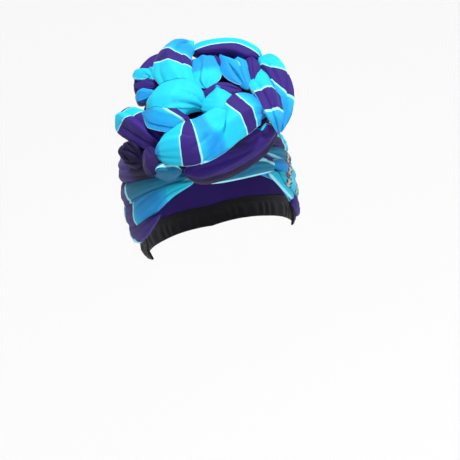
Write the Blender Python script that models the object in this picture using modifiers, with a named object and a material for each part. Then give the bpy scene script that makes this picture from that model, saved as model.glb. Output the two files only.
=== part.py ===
"""Turban headwrap: a printed cloth wound round the head, crossed on the brow and coiled into a rosette.

Metres, +Z up, the face looks along -Y. The origin is the centre of the head opening, at its lowest edge
over the temples. Every piece is a closed solid in the collection "turban_headwrap".
"""

import math
from collections import namedtuple

import bmesh
import bpy
import numpy as np
from mathutils import Matrix, Vector

# Head opening and crown
HEAD_HALF_BREADTH = 0.076
HEAD_HALF_LENGTH = 0.094
CROWN_HEIGHT = 0.148
WIDEST_HEIGHT = 0.045
TAPER_DEPTH = 0.150
CLOTH_WALL = 0.002

# Wound bands round the head
BAND_THICKNESS = 0.0060
BAND_WIDTH = 0.024
BAND_FOOT = 0.0007
BAND_LIP = 0.0006
BAND_TIP_SHARE = 0.06
BAND_FOOT_SHARE = 0.8
BAND_BULGE_POWER = 2.2

# Gathered elastic band at the nape
NAPE_GATHERS = 32
NAPE_GATHER_DEPTH = 0.0010
NAPE_BAND_RECESS = 0.0003

# Rosette on the front of the crown
ROSETTE_RADIUS = 0.086
ROSETTE_SEAT_ROUND_DEG = 11.7
ROSETTE_SEAT_CLIMB_DEG = 50.8
ROSETTE_LIFT = 0.0215
ROSETTE_LEAN_DEG = 30.0

# A roll or band narrows to this share of its size at its ends
TIP_SIZE_SHARE = 0.12

# Clear space between neighbouring pieces
GAP = 0.0004

# The filled head that trims what sits on the crown, in degrees above its widest level
HEAD_FILL_FROM_DEG = -40.0
HEAD_FILL_TO_DEG = 88.0

# Mesh fineness
CROWN_STEPS_ROUND = 40
CROWN_STEPS_UP = 7
FOLD_STATIONS = 9
FOLD_SIDES = 8
BAND_STATION_ANGLE_DEG = 10.0
BAND_TOP_POINTS = 5
COIL_STEPS = 16
HEAD_FILL_STEPS = 16
CURVE_STEPS = 40
MERGE_DISTANCE = 0.0001

CYAN = (0.01, 0.42, 0.80, 1.0)
PURPLE = (0.035, 0.016, 0.16, 1.0)
BLACK = (0.008, 0.008, 0.010, 1.0)

# A band lies on the crown. Its route is (degrees round from the brow, positive to the wearer's left;
# height as a share of CROWN_HEIGHT; width as a share of BAND_WIDTH).
Band = namedtuple("Band", "name route thickness colour")
BANDS = (
    Band(
        "brow_tuck",
        ((-15, 0.588, 0.20), (0, 0.565, 0.35), (18, 0.565, 0.60), (34, 0.56, 0.80), (50, 0.51, 0.55)),
        0.9,
        CYAN,
    ),
    Band(
        "temple_fold",
        ((43, 0.485, 0.25), (51, 0.41, 0.50), (59, 0.32, 0.50), (66, 0.24, 0.30)),
        0.55,
        CYAN,
    ),
    Band(
        "temple_tuck",
        ((64, 0.235, 0.35), (70, 0.185, 0.60), (77, 0.125, 0.60), (84, 0.07, 0.40)),
        0.9,
        PURPLE,
    ),
    Band(
        "wrap_crest",
        (
            (-22, 0.66, 0.40), (-48, 0.655, 0.80), (-75, 0.63, 1.05), (-95, 0.60, 1.15),
            (-130, 0.57, 1.15), (-180, 0.56, 1.20), (-230, 0.55, 1.15), (-262, 0.53, 1.10),
            (-280, 0.555, 0.95), (-300, 0.63, 0.70), (-318, 0.68, 0.40),
        ),
        1.5,
        PURPLE,
    ),
    Band(
        "wrap_upper",
        (
            (-10, 0.61, 0.30), (-28, 0.60, 0.55), (-46, 0.565, 0.75), (-70, 0.49, 0.95),
            (-92, 0.44, 1.00), (-130, 0.40, 1.15), (-180, 0.38, 1.20), (-230, 0.39, 1.10),
            (-264, 0.41, 0.90), (-282, 0.46, 0.75), (-297, 0.545, 0.65), (-312, 0.60, 0.40),
        ),
        1.0,
        CYAN,
    ),
    Band(
        "wrap_middle",
        (
            (-12, 0.575, 0.25), (-28, 0.55, 0.55), (-45, 0.485, 0.95), (-66, 0.375, 1.10),
            (-90, 0.30, 1.05), (-130, 0.25, 1.10), (-180, 0.22, 1.20), (-230, 0.25, 1.10),
            (-262, 0.29, 0.90), (-282, 0.355, 0.80), (-298, 0.45, 0.65), (-312, 0.53, 0.40),
        ),
        1.0,
        CYAN,
    ),
    Band(
        "wrap_lower",
        (
            (-40, 0.405, 0.20), (-50, 0.345, 0.45), (-64, 0.265, 0.70), (-85, 0.19, 0.80),
            (-130, 0.12, 0.90), (-180, 0.08, 1.00), (-230, 0.12, 0.90), (-262, 0.17, 0.85),
            (-280, 0.24, 0.95), (-296, 0.34, 0.85), (-311, 0.45, 0.50),
        ),
        1.0,
        CYAN,
    ),
)

# The crown's lower edge: degrees round from the brow, height as a share of CROWN_HEIGHT.
RIM = (
    (-180, 0.055), (-130, 0.10), (-90, 0.16), (-68, 0.19), (-58, 0.30), (-45, 0.43), (-30, 0.52),
    (-12, 0.57), (0, 0.545), (20, 0.525), (36, 0.50), (48, 0.42), (58, 0.30), (68, 0.19), (90, 0.16),
    (130, 0.10), (180, 0.055),
)
NAPE_BAND_FROM_DEG = 66.0

# The nape band's lower edge: degrees round from the brow, height as a share of CROWN_HEIGHT.
NAPE_EDGE = ((66, 0.05), (90, 0.0), (130, -0.05), (180, -0.093), (230, -0.05), (270, 0.0), (294, 0.05))

# The coil base's half section: height as a share of ROSETTE_LIFT, radius as a share of ROSETTE_RADIUS.
COIL_PROFILE = (
    (-2.40, 0.0), (-2.40, 0.34), (-2.16, 0.50), (-1.76, 0.60), (-1.36, 0.62), (-1.08, 0.57),
    (-0.88, 0.60), (-0.48, 0.67), (-0.12, 0.63), (0.16, 0.48), (0.24, 0.20), (0.24, 0.0),
)

# A fold is a wound roll of cloth in the rosette. Its route is (right, back, out of the face) as shares of
# ROSETTE_RADIUS from the rosette's centre, widths are shares of ROSETTE_RADIUS spread along the route,
# depth is a share of the width, and lean turns the roll's face outwards from the rosette's axis.
# tips are the shares of the length over which each end closes.
Fold = namedtuple("Fold", "name route widths depth lean tips colour")
FOLDS = (
    Fold("inner_lip",
         ((-0.65, -0.02, 0.12), (-0.52, -0.24, 0.20), (-0.38, -0.36, 0.21), (-0.17, -0.40, 0.12)),
         (0.08, 0.22, 0.22, 0.10), 0.75, (25, 25), (0.35, 0.25), CYAN),
    Fold("lobe_left",
         ((-0.57, 0.07, 0.14), (-0.43, 0.00, 0.21), (-0.26, -0.08, 0.26), (-0.12, -0.17, 0.23),
          (-0.03, -0.25, 0.14)),
         (0.26, 0.42, 0.44, 0.34, 0.14), 0.62, (10, 10), (0.25, 0.30), CYAN),
    Fold("lobe_top",
         ((0.08, 0.92, 0.12), (-0.12, 0.72, 0.20), (-0.22, 0.48, 0.24), (-0.23, 0.22, 0.26),
          (-0.17, 0.00, 0.22), (-0.09, -0.15, 0.14)),
         (0.08, 0.34, 0.38, 0.38, 0.28, 0.12), 0.62, (10, 5), (0.12, 0.20), CYAN),
    Fold("lobe_right",
         ((-0.03, -0.13, 0.14), (0.11, -0.22, 0.21), (0.28, -0.18, 0.14)),
         (0.22, 0.32, 0.20), 0.62, (0, 0), (0.30, 0.30), CYAN),
    Fold("front_roll",
         ((-0.62, -0.53, 0.00), (-0.50, -0.59, 0.05), (-0.36, -0.65, 0.09), (-0.21, -0.69, 0.12),
          (-0.04, -0.65, 0.13), (0.14, -0.56, 0.14), (0.33, -0.44, 0.13), (0.45, -0.38, 0.10),
          (0.54, -0.38, 0.03)),
         (0.18, 0.30, 0.37, 0.38, 0.36, 0.34, 0.36, 0.32, 0.20), 0.72, (30, 30), (0.10, 0.12), CYAN),
    Fold("front_under",
         ((-0.39, -0.69, -0.19), (-0.17, -0.69, -0.22), (0.07, -0.65, -0.22), (0.30, -0.58, -0.20),
          (0.49, -0.52, -0.14), (0.58, -0.49, -0.05)),
         (0.18, 0.26, 0.28, 0.28, 0.26, 0.18), 0.80, (75, 70), (0.15, 0.15), PURPLE),
    Fold("left_roll",
         ((-0.91, 0.16, -0.06), (-0.81, 0.05, -0.02), (-0.68, -0.13, 0.01), (-0.57, -0.31, 0.01),
          (-0.50, -0.40, 0.00)),
         (0.24, 0.30, 0.32, 0.30, 0.22), 0.80, (50, 30), (0.18, 0.20), PURPLE),
    Fold("left_gather",
         ((-0.89, -0.10, -0.17), (-0.86, -0.19, -0.21), (-0.77, -0.34, -0.23)),
         (0.24, 0.30, 0.24), 0.90, (80, 70), (0.25, 0.25), PURPLE),
    Fold("roll_tail",
         ((-0.69, -0.41, -0.02), (-0.69, -0.53, -0.06), (-0.68, -0.71, -0.11)),
         (0.14, 0.20, 0.14), 0.80, (60, 60), (0.25, 0.30), PURPLE),
    Fold("front_hem",
         ((-0.66, -0.69, -0.07), (-0.55, -0.68, -0.11), (-0.41, -0.71, -0.14)),
         (0.14, 0.20, 0.14), 0.80, (80, 80), (0.25, 0.30), CYAN),
    Fold("pleat_1",
         ((0.06, 0.60, 0.12), (0.08, 0.34, 0.17), (0.04, 0.06, 0.16)),
         (0.26, 0.28, 0.20), 0.50, (0, 0), (0.12, 0.25), CYAN),
    Fold("pleat_2",
         ((0.22, 0.60, 0.09), (0.23, 0.38, 0.14), (0.26, 0.18, 0.14)),
         (0.12, 0.13, 0.10), 0.90, (0, 0), (0.15, 0.25), PURPLE),
    Fold("pleat_3",
         ((0.30, 0.63, 0.09), (0.33, 0.31, 0.17), (0.41, 0.00, 0.15)),
         (0.06, 0.20, 0.14), 0.90, (0, 0), (0.30, 0.30), CYAN),
    Fold("pleat_4",
         ((0.46, 0.53, 0.07), (0.44, 0.20, 0.15), (0.45, -0.08, 0.13)),
         (0.12, 0.17, 0.12), 0.90, (0, 0), (0.20, 0.30), CYAN),
    Fold("pleat_5",
         ((0.59, 0.52, 0.05), (0.55, 0.18, 0.14), (0.50, -0.12, 0.12)),
         (0.12, 0.15, 0.11), 0.90, (10, 5), (0.20, 0.30), PURPLE),
    Fold("pleat_back",
         ((-0.06, -0.04, 0.12), (0.16, 0.03, 0.14), (0.38, -0.04, 0.11)),
         (0.12, 0.14, 0.10), 0.90, (0, 0), (0.30, 0.30), PURPLE),
    Fold("right_inner",
         ((0.63, 0.34, 0.05), (0.59, -0.00, 0.10), (0.61, -0.28, 0.12), (0.61, -0.50, 0.08),
          (0.60, -0.64, -0.03)),
         (0.12, 0.27, 0.28, 0.22, 0.10), 0.85, (15, 40), (0.20, 0.25), CYAN),
    Fold("right_outer",
         ((0.72, 0.52, 0.00), (0.78, 0.32, 0.02), (0.81, 0.09, 0.02), (0.79, -0.15, 0.00),
          (0.74, -0.32, -0.06), (0.65, -0.50, -0.14)),
         (0.20, 0.30, 0.31, 0.27, 0.20, 0.10), 0.90, (40, 60), (0.15, 0.25), CYAN),
    Fold("back_roll",
         ((0.03, 0.87, 0.02), (0.27, 0.82, 0.03), (0.51, 0.72, 0.02), (0.71, 0.53, -0.03)),
         (0.20, 0.26, 0.29, 0.28), 0.95, (30, 45), (0.18, 0.18), PURPLE),
    Fold("left_back",
         ((-0.19, 0.85, 0.02), (-0.35, 0.85, -0.02), (-0.48, 0.74, -0.06), (-0.57, 0.58, -0.10),
          (-0.58, 0.39, -0.13)),
         (0.18, 0.27, 0.30, 0.30, 0.22), 0.95, (35, 60), (0.15, 0.18), PURPLE),
    Fold("left_pleat_1",
         ((-0.64, 0.69, 0.04), (-0.56, 0.63, 0.09), (-0.47, 0.51, 0.12)),
         (0.14, 0.18, 0.14), 0.85, (30, 20), (0.25, 0.30), CYAN),
    Fold("left_pleat_2",
         ((-0.65, 0.59, 0.00), (-0.52, 0.47, 0.06), (-0.38, 0.34, 0.12)),
         (0.12, 0.16, 0.14), 0.85, (30, 20), (0.25, 0.30), PURPLE),
    Fold("left_pleat_3",
         ((-0.67, 0.41, -0.02), (-0.59, 0.36, 0.03), (-0.49, 0.28, 0.08)),
         (0.14, 0.20, 0.14), 0.85, (30, 20), (0.25, 0.30), CYAN),
    Fold("left_pleat_4",
         ((-0.44, 0.73, 0.06), (-0.40, 0.53, 0.11), (-0.30, 0.34, 0.15)),
         (0.12, 0.20, 0.14), 0.80, (20, 10), (0.25, 0.30), CYAN),
)


def smooth_samples(points, shares):
    """Points on a Catmull-Rom curve through the given points, at shares of its length from 0 to 1."""
    knots = np.array(points, float)
    ends = np.vstack([2 * knots[0] - knots[1], knots, 2 * knots[-1] - knots[-2]])
    spans = len(knots) - 1

    def at(where):
        span = np.clip(np.floor(where).astype(int), 0, spans - 1)
        t = (where - span)[:, None]
        a, b, c, d = (ends[span + k] for k in range(4))
        bend = 2 * a - 5 * b + 4 * c - d
        twist = 3 * b - a - 3 * c + d
        return (2 * b + (c - a) * t + bend * t**2 + twist * t**3) / 2

    fine = np.linspace(0, spans, CURVE_STEPS * spans + 1)
    steps = np.linalg.norm(np.diff(at(fine)[:, :3], axis=0), axis=1)
    length = np.concatenate([[0], np.cumsum(steps)])
    return at(np.interp(np.asarray(shares) * length[-1], length, fine))


def crown_axes(above, out=0.0):
    """Half sizes of the crown's outer face, grown outwards: across, front to back, and up or down."""
    across = HEAD_HALF_BREADTH + CLOTH_WALL + out
    along = HEAD_HALF_LENGTH + CLOTH_WALL + out
    upper = CROWN_HEIGHT - WIDEST_HEIGHT + CLOTH_WALL + out
    return across, along, np.where(above, upper, TAPER_DEPTH)


def crown_point(round_rad, height, out=0.0):
    """A point of the crown's outer face: angle round from the brow, height, and distance grown outwards."""
    round_rad, height = np.broadcast_arrays(round_rad, height)
    across, along, up = crown_axes(height > WIDEST_HEIGHT, out)
    rise = np.clip((height - WIDEST_HEIGHT) / up, -1, 1)
    girth = np.sqrt(1 - rise**2)
    right = across * girth * np.sin(round_rad)
    back = -along * girth * np.cos(round_rad)
    return np.stack([right, back, WIDEST_HEIGHT + up * rise], axis=-1)


def press_on_crown(points, out):
    """The points moved to the crown's outer face along rays from the head's middle, then off it by out."""
    middle = np.array([0.0, 0.0, WIDEST_HEIGHT])
    ray = points - middle
    axes = np.stack(np.broadcast_arrays(*crown_axes(ray[..., 2] > 0)), axis=-1)
    foot = ray / np.linalg.norm(ray / axes, axis=-1, keepdims=True)
    return middle + foot + unit(foot / axes**2) * np.asarray(out)[..., None]


def new_object(name, points, faces, colour, collection="turban_headwrap"):
    """A mesh object with its own material, in a collection."""
    mesh = bpy.data.meshes.new(name)
    mesh.from_pydata([tuple(map(float, p)) for p in points], [], faces)
    split_to_triangles(mesh)
    mesh.shade_smooth()
    material = bpy.data.materials.new(name + "_cloth")
    material.use_nodes = True
    shader = material.node_tree.nodes["Principled BSDF"]
    shader.inputs["Base Color"].default_value = colour
    shader.inputs["Roughness"].default_value = 0.75
    shader.inputs["Metallic"].default_value = 0.0
    mesh.materials.append(material)
    piece = bpy.data.objects.new(name, mesh)
    bpy.data.collections[collection].objects.link(piece)
    return piece


def closed_loft(rings):
    """(points, faces) of a solid lofted through closed rings of equal count, its two ends closed by a fan."""
    count, sides = rings.shape[:2]
    points = [*rings.reshape(-1, 3), rings[0].mean(0), rings[-1].mean(0)]
    first, last = count * sides, count * sides + 1
    faces = []
    for i in range(count - 1):
        for j in range(sides):
            k = (j + 1) % sides
            faces.append((i * sides + j, i * sides + k, (i + 1) * sides + k, (i + 1) * sides + j))
    for j in range(sides):
        k = (j + 1) % sides
        faces.append((first, k, j))
        faces.append((last, (count - 1) * sides + j, (count - 1) * sides + k))
    return points, faces


def split_to_triangles(mesh):
    """Bent four-sided faces give a Boolean no clear inside, so they are split first."""
    work = bmesh.new()
    work.from_mesh(mesh)
    bmesh.ops.triangulate(work, faces=work.faces)
    work.to_mesh(mesh)
    work.free()


def rosette_axes():
    """The rosette's centre and its right, back and outward directions."""
    lean = math.radians(ROSETTE_LEAN_DEG)
    right = np.array([1.0, 0.0, 0.0])
    back = np.array([0.0, math.cos(lean), math.sin(lean)])
    outward = np.cross(right, back)
    rise = (CROWN_HEIGHT - WIDEST_HEIGHT + CLOTH_WALL) * math.sin(math.radians(ROSETTE_SEAT_CLIMB_DEG))
    seat = crown_point(math.radians(ROSETTE_SEAT_ROUND_DEG), WIDEST_HEIGHT + rise)
    centre = seat + outward * ROSETTE_LIFT
    return centre, right, back, outward


def unit(vectors):
    return vectors / np.linalg.norm(vectors, axis=-1, keepdims=True)


def end_profile(shares, tips):
    """1 along the middle of a roll, falling as a quarter circle to TIP_SIZE_SHARE over each tip."""
    start = np.clip(shares / tips[0], 0, 1)
    stop = np.clip((1 - shares) / tips[1], 0, 1)
    profile = np.sqrt(1 - (1 - start) ** 2) * np.sqrt(1 - (1 - stop) ** 2)
    return TIP_SIZE_SHARE + (1 - TIP_SIZE_SHARE) * profile


def fold_rings(fold, grow=0.0):
    """Rings of a wound roll: an ellipse carried along the fold's route, with its face turned by the lean."""
    centre, right, back, outward = rosette_axes()
    shares = np.linspace(0, 1, FOLD_STATIONS)
    local = smooth_samples(fold.route, shares) * ROSETTE_RADIUS
    spine = centre + local[:, :1] * right + local[:, 1:2] * back + local[:, 2:] * outward
    tangent = unit(np.gradient(spine, axis=0))
    radial = unit(local[:, :1] * right + local[:, 1:2] * back)
    lean = np.radians(np.interp(shares, (0, 1), fold.lean))[:, None]
    face = np.cos(lean) * outward + np.sin(lean) * radial
    face = unit(face - (face * tangent).sum(1, keepdims=True) * tangent)
    across = np.cross(face, tangent)
    knots = np.linspace(0, 1, len(fold.widths))
    half = np.interp(shares, knots, fold.widths) * ROSETTE_RADIUS / 2 * end_profile(shares, fold.tips)
    turn = np.linspace(0, 2 * math.pi, FOLD_SIDES, endpoint=False)
    wide = (half + grow)[:, None, None] * np.cos(turn)[None, :, None] * across[:, None, :]
    deep = (half * fold.depth + grow)[:, None, None] * np.sin(turn)[None, :, None] * face[:, None, :]
    rings = spine[:, None, :] + wide + deep
    rings[0] -= tangent[0] * grow
    rings[-1] += tangent[-1] * grow
    return rings


def band_rings(band, grow=0.0):
    """Rings of a band wound on the crown: a crowned top over a foot that lies just clear of the crown."""
    route = np.array(band.route, float)
    count = max(8, round(np.ptp(route[:, 0]) / BAND_STATION_ANGLE_DEG))
    shares = np.linspace(0, 1, count)
    turns = smooth_samples(route * (math.radians(1.0), 1.0, 1.0), shares)
    spine = crown_point(turns[:, 0], turns[:, 1] * CROWN_HEIGHT)
    normal = unit(press_on_crown(spine, np.full(count, 1.0)) - spine)
    across = unit(np.cross(normal, unit(np.gradient(spine, axis=0))))
    ends = end_profile(shares, (BAND_TIP_SHARE, BAND_TIP_SHARE))
    half = turns[:, 2] * BAND_WIDTH / 2 * ends + grow
    over = np.linspace(1, -1, BAND_TOP_POINTS)
    crowned = np.sqrt(np.clip(1 - np.abs(over) ** BAND_BULGE_POWER, 0, 1))
    tops = BAND_FOOT + BAND_LIP + band.thickness * BAND_THICKNESS * crowned
    section = [(s, h, grow if abs(s) < 1 else 0.0) for s, h in zip(over, tops)]
    section += [(s, BAND_FOOT, -grow) for s in (-BAND_FOOT_SHARE, 0.0, BAND_FOOT_SHARE)]
    rings = []
    for s, h, more in section:
        out = BAND_FOOT + (h - BAND_FOOT) * ends + more
        rings.append(press_on_crown(spine + across * (half * s)[:, None], out))
    return np.stack(rings, axis=1)


def rim_height(round_rad):
    """Height of the crown's lower edge at an angle round from the brow."""
    degrees = (np.degrees(round_rad) + 180) % 360 - 180
    return np.interp(degrees, *np.array(RIM).T) * CROWN_HEIGHT


def add_crown():
    """The cap under the wound bands: an open sheet from its lower edge to the top, thickened inwards."""
    turn = np.linspace(0, 2 * math.pi, CROWN_STEPS_ROUND, endpoint=False)
    low = np.arcsin((rim_height(turn) - WIDEST_HEIGHT) / crown_axes(rim_height(turn) > WIDEST_HEIGHT)[2])
    rows = []
    for share in np.linspace(0, 1, CROWN_STEPS_UP, endpoint=False):
        climb = low + (math.pi / 2 - low) * share
        up = crown_axes(climb > 0)[2]
        rows.append(crown_point(turn, WIDEST_HEIGHT + up * np.sin(climb)))
    points = [*np.concatenate(rows), (0.0, 0.0, CROWN_HEIGHT + CLOTH_WALL)]
    faces = sheet_faces(CROWN_STEPS_UP, CROWN_STEPS_ROUND, closed=True)
    last = (CROWN_STEPS_UP - 1) * CROWN_STEPS_ROUND
    for j in range(CROWN_STEPS_ROUND):
        faces.append((last + j, last + (j + 1) % CROWN_STEPS_ROUND, len(points) - 1))
    crown = new_object("crown_wrap", points, faces, CYAN)
    thicken_inwards(crown)
    return crown


def add_nape_band():
    """The gathered elastic band, which carries on below the crown's lower edge from temple to temple."""
    steps = NAPE_GATHERS * 2
    turn = np.linspace(math.radians(NAPE_BAND_FROM_DEG), math.radians(360 - NAPE_BAND_FROM_DEG), steps + 1)
    low = np.interp(np.degrees(turn), *np.array(NAPE_EDGE).T) * CROWN_HEIGHT
    high = rim_height(turn) - GAP
    gather = NAPE_GATHER_DEPTH * (np.cos(np.arange(steps + 1) * math.pi) - 1) / 2
    rows = [crown_point(turn, low + (high - low) * share) for share in (0.0, 0.5, 1.0)]
    rows = [press_on_crown(row, gather - NAPE_BAND_RECESS) for row in rows]
    band = new_object("nape_band", np.concatenate(rows), sheet_faces(3, steps + 1, closed=False), BLACK)
    thicken_inwards(band)
    return band


def sheet_faces(rows, columns, closed):
    """Four-sided faces between rows of points, outwards when the rows climb and run to the wearer's left."""
    faces = []
    for i in range(rows - 1):
        for j in range(columns if closed else columns - 1):
            k = (j + 1) % columns
            faces.append((i * columns + j, i * columns + k, (i + 1) * columns + k, (i + 1) * columns + j))
    return faces


def thicken_inwards(sheet):
    solidify = sheet.modifiers.new("cloth", "SOLIDIFY")
    solidify.thickness = CLOTH_WALL
    solidify.offset = -1.0


def add_coil_base():
    """The first turns of the coil, which fill the rosette's middle and sit on the crown: a turned profile."""
    profile = [(radius * ROSETTE_RADIUS, 0.0, height * ROSETTE_LIFT) for height, radius in COIL_PROFILE]
    base = new_object("coil_base", [], [], PURPLE)
    base.data.from_pydata(profile, [(i, i + 1) for i in range(len(profile) - 1)], [])
    screw = base.modifiers.new("turn", "SCREW")
    screw.steps = screw.render_steps = COIL_STEPS
    screw.use_merge_vertices = True
    screw.use_normal_calculate = True
    centre, right, back, outward = rosette_axes()
    rows = np.stack([right, back, outward, centre], axis=1).tolist()
    base.matrix_world = Matrix((*rows, (0, 0, 0, 1)))
    return base


def add_cutter(name, rings):
    """A hidden copy of a piece, grown by the gap, that trims what lies beside or under the piece."""
    cutter = new_object(name + "_clearance", *closed_loft(rings), BLACK, "clearances")
    cutter.hide_render = True
    cutter.display_type = "WIRE"
    return cutter


def crown_cutter():
    """The filled head with the crown on it, grown by the gap."""
    turn = np.linspace(0, 2 * math.pi, CROWN_STEPS_ROUND, endpoint=False)
    rings = []
    for climb in np.radians(np.linspace(HEAD_FILL_FROM_DEG, HEAD_FILL_TO_DEG, HEAD_FILL_STEPS)):
        up = crown_axes(climb > 0, GAP)[2]
        rings.append(crown_point(turn, WIDEST_HEIGHT + up * math.sin(climb), GAP))
    return add_cutter("crown", np.stack(rings))


def world_box(thing):
    corners = np.array([thing.matrix_world @ Vector(corner) for corner in thing.bound_box])
    return corners.min(0), corners.max(0)


def trim(piece, cutters):
    """Cut every cutter that reaches the piece out of it, and keep the largest body that is left."""
    bpy.context.view_layer.update()
    low, high = world_box(piece)
    for cutter in cutters:
        cut_low, cut_high = world_box(cutter)
        if np.all(cut_low < high) and np.all(low < cut_high):
            boolean = piece.modifiers.new(cutter.name, "BOOLEAN")
            boolean.operation = "DIFFERENCE"
            boolean.solver = "EXACT"
            boolean.object = cutter
    evaluated = piece.evaluated_get(bpy.context.evaluated_depsgraph_get())
    piece.data = bpy.data.meshes.new_from_object(evaluated)
    piece.modifiers.clear()
    keep_largest_body(piece.data)


def keep_largest_body(mesh):
    """Drop the loose scraps that a cut leaves, and the edges too short to matter."""
    work = bmesh.new()
    work.from_mesh(mesh)
    bmesh.ops.remove_doubles(work, verts=work.verts, dist=MERGE_DISTANCE)
    bmesh.ops.dissolve_degenerate(work, edges=work.edges, dist=MERGE_DISTANCE)
    bodies = []
    waiting = set(work.verts)
    while waiting:
        body = {waiting.pop()}
        edge_of_body = set(body)
        while edge_of_body:
            reached = {edge.other_vert(vert) for vert in edge_of_body for edge in vert.link_edges} - body
            body |= reached
            edge_of_body = reached
        waiting -= body
        bodies.append(body)
    largest = max(bodies, key=body_size)
    scraps = [vert for body in bodies if body is not largest for vert in body]
    bmesh.ops.delete(work, geom=scraps, context="VERTS")
    bmesh.ops.triangulate(work, faces=work.faces)
    bmesh.ops.recalc_face_normals(work, faces=work.faces)
    work.to_mesh(mesh)
    work.free()


def body_size(body):
    """The diagonal of the box round a body's corners."""
    places = np.array([vert.co for vert in body])
    return float(np.linalg.norm(np.ptp(places, axis=0)))


def build_headwrap():
    crown = add_crown()
    nape = add_nape_band()
    clearances = []
    folds = []
    for fold in FOLDS:
        piece = new_object(fold.name, *closed_loft(fold_rings(fold)), fold.colour)
        folds.append((piece, list(clearances)))
        clearances.append(add_cutter(fold.name, fold_rings(fold, GAP)))
    for band in BANDS:
        piece = new_object(band.name, *closed_loft(band_rings(band)), band.colour)
        folds.append((piece, list(clearances)))
        clearances.append(add_cutter(band.name, band_rings(band, GAP)))
    head = crown_cutter()
    base = add_coil_base()
    for piece, above in folds:
        on_crown = piece.name in {band.name for band in BANDS}
        trim(piece, above if on_crown else [*above, head])
    trim(base, [head, *clearances])
    trim(crown, [])
    trim(nape, [])


def main():
    for thing in list(bpy.data.objects):
        bpy.data.objects.remove(thing)
    for name in ("turban_headwrap", "clearances"):
        collection = bpy.data.collections.new(name)
        bpy.context.scene.collection.children.link(collection)
    build_headwrap()


main()
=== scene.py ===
"""Turban headwrap of printed cotton, wound round the head and coiled into a rosette.

Metres, +Z up, the wearer looks along -Y. Every piece is a surface of two parameters: one runs along the
cloth, the other round its section.
"""

import math
from collections import namedtuple
from functools import partial

import bmesh
import bpy
import numpy as np
from mathutils import Matrix, Vector


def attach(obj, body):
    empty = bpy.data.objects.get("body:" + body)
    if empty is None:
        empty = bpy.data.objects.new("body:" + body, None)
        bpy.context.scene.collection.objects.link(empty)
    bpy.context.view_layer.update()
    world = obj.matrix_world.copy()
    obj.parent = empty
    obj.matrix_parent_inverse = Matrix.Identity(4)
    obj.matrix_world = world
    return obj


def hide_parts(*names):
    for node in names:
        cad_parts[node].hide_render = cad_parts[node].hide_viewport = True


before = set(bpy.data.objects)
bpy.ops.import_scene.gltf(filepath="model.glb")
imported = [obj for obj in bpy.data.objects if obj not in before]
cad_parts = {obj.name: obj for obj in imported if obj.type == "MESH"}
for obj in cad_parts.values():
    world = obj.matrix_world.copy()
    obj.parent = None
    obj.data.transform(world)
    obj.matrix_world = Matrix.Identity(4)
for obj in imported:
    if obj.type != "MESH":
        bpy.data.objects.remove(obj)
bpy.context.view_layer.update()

bl_info = {
    "name": "Turban Headwrap",
    "version": (1, 0, 0),
    "blender": (4, 5, 0),
    "location": "View3D > Sidebar > Headwrap",
    "description": "Winds and coils a turban headwrap of printed cotton",
    "category": "Object",
}

# Opening, crown, bands and rosette, as in the part
HEAD_HALF_BREADTH = 0.076
HEAD_HALF_LENGTH = 0.094
CROWN_HEIGHT = 0.148
WIDEST_HEIGHT = 0.045
TAPER_DEPTH = 0.150
CLOTH_WALL = 0.002
BAND_THICKNESS = 0.0060
BAND_WIDTH = 0.024
BAND_FOOT = 0.0007
BAND_LIP = 0.0006
NAPE_BAND_RECESS = 0.0003
ROSETTE_RADIUS = 0.086
ROSETTE_SEAT_ROUND_DEG = 11.7
ROSETTE_SEAT_CLIMB_DEG = 50.8
ROSETTE_LIFT = 0.0215
ROSETTE_LEAN_DEG = 30.0
TIP_SIZE_SHARE = 0.12
GAP = 0.0004
MM = 0.001

# The grid of a fold, and of a long or short band: stations along it, and points over and under it
FOLD_GRID = (112, 96)
LONG_BAND_STATIONS, SHORT_BAND_STATIONS = 420, 120
BAND_TOPS, BAND_FEET = 31, 5
CUTTER_BAND_GRID = (90, 13, 5)

AZURE, PURPLE, ELASTIC = "azure_cotton", "purple_cotton", "black_elastic"

# The cloth's own metres up and round the cap, the coil and the elastic
CROWN_CLOTH_RISE, CROWN_CLOTH_RADIUS = 0.15, 0.085
COIL_CLOTH_RADIUS = 0.05
ELASTIC_GIRTH = 0.07
# The coil's rope: ridges in a turn, how much they slant with height, in radians a metre, and groove depth
COIL_RIDGES, COIL_SLANT, COIL_GROOVE = 14, 900, 0.0016
# Depths of the folds' slow puffs, the cap's gathers, the elastic's puckers and its sewn rows, and how far its
# lower edge swells out, evenly and in ruffles
PUFF_DEPTH, GATHER_DEPTH, PUCKER_DEPTH, SEWN_ROW_DEPTH = 0.0006, 0.0011, 0.0009, 0.0003
EDGE_SWELL, RUFFLE_SWELL = 0.0008, 0.0018

# The camera's height angle, its angle round from the front and its roll, in degrees, and its view
CAMERA_CLIMB, CAMERA_ROUND, CAMERA_ROLL = 18, -4, 12.7
CAMERA_DISTANCE, CAMERA_LENS = 0.9, 76.6
CAMERA_TARGET = (0.0074, -0.060, 0.025)

# Studio brightness at the walls and overhead, the floor, and the direction to the sun and its strength
WALL_GLOW, DIM_GLOW = 0.92, 0.05
FLOOR_REACH, FLOOR_DROP = 40.0, 0.45
TOWARDS_SUN, SUN_STRENGTH, SUN_ANGLE = (0.30, -0.45, 1.75), 4.9, 9
FILL_PLACE, FILL_TARGET, FILL_POWER = (1.3, -1.2, 0.5), (0, 0, 0.05), 5.0

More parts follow.
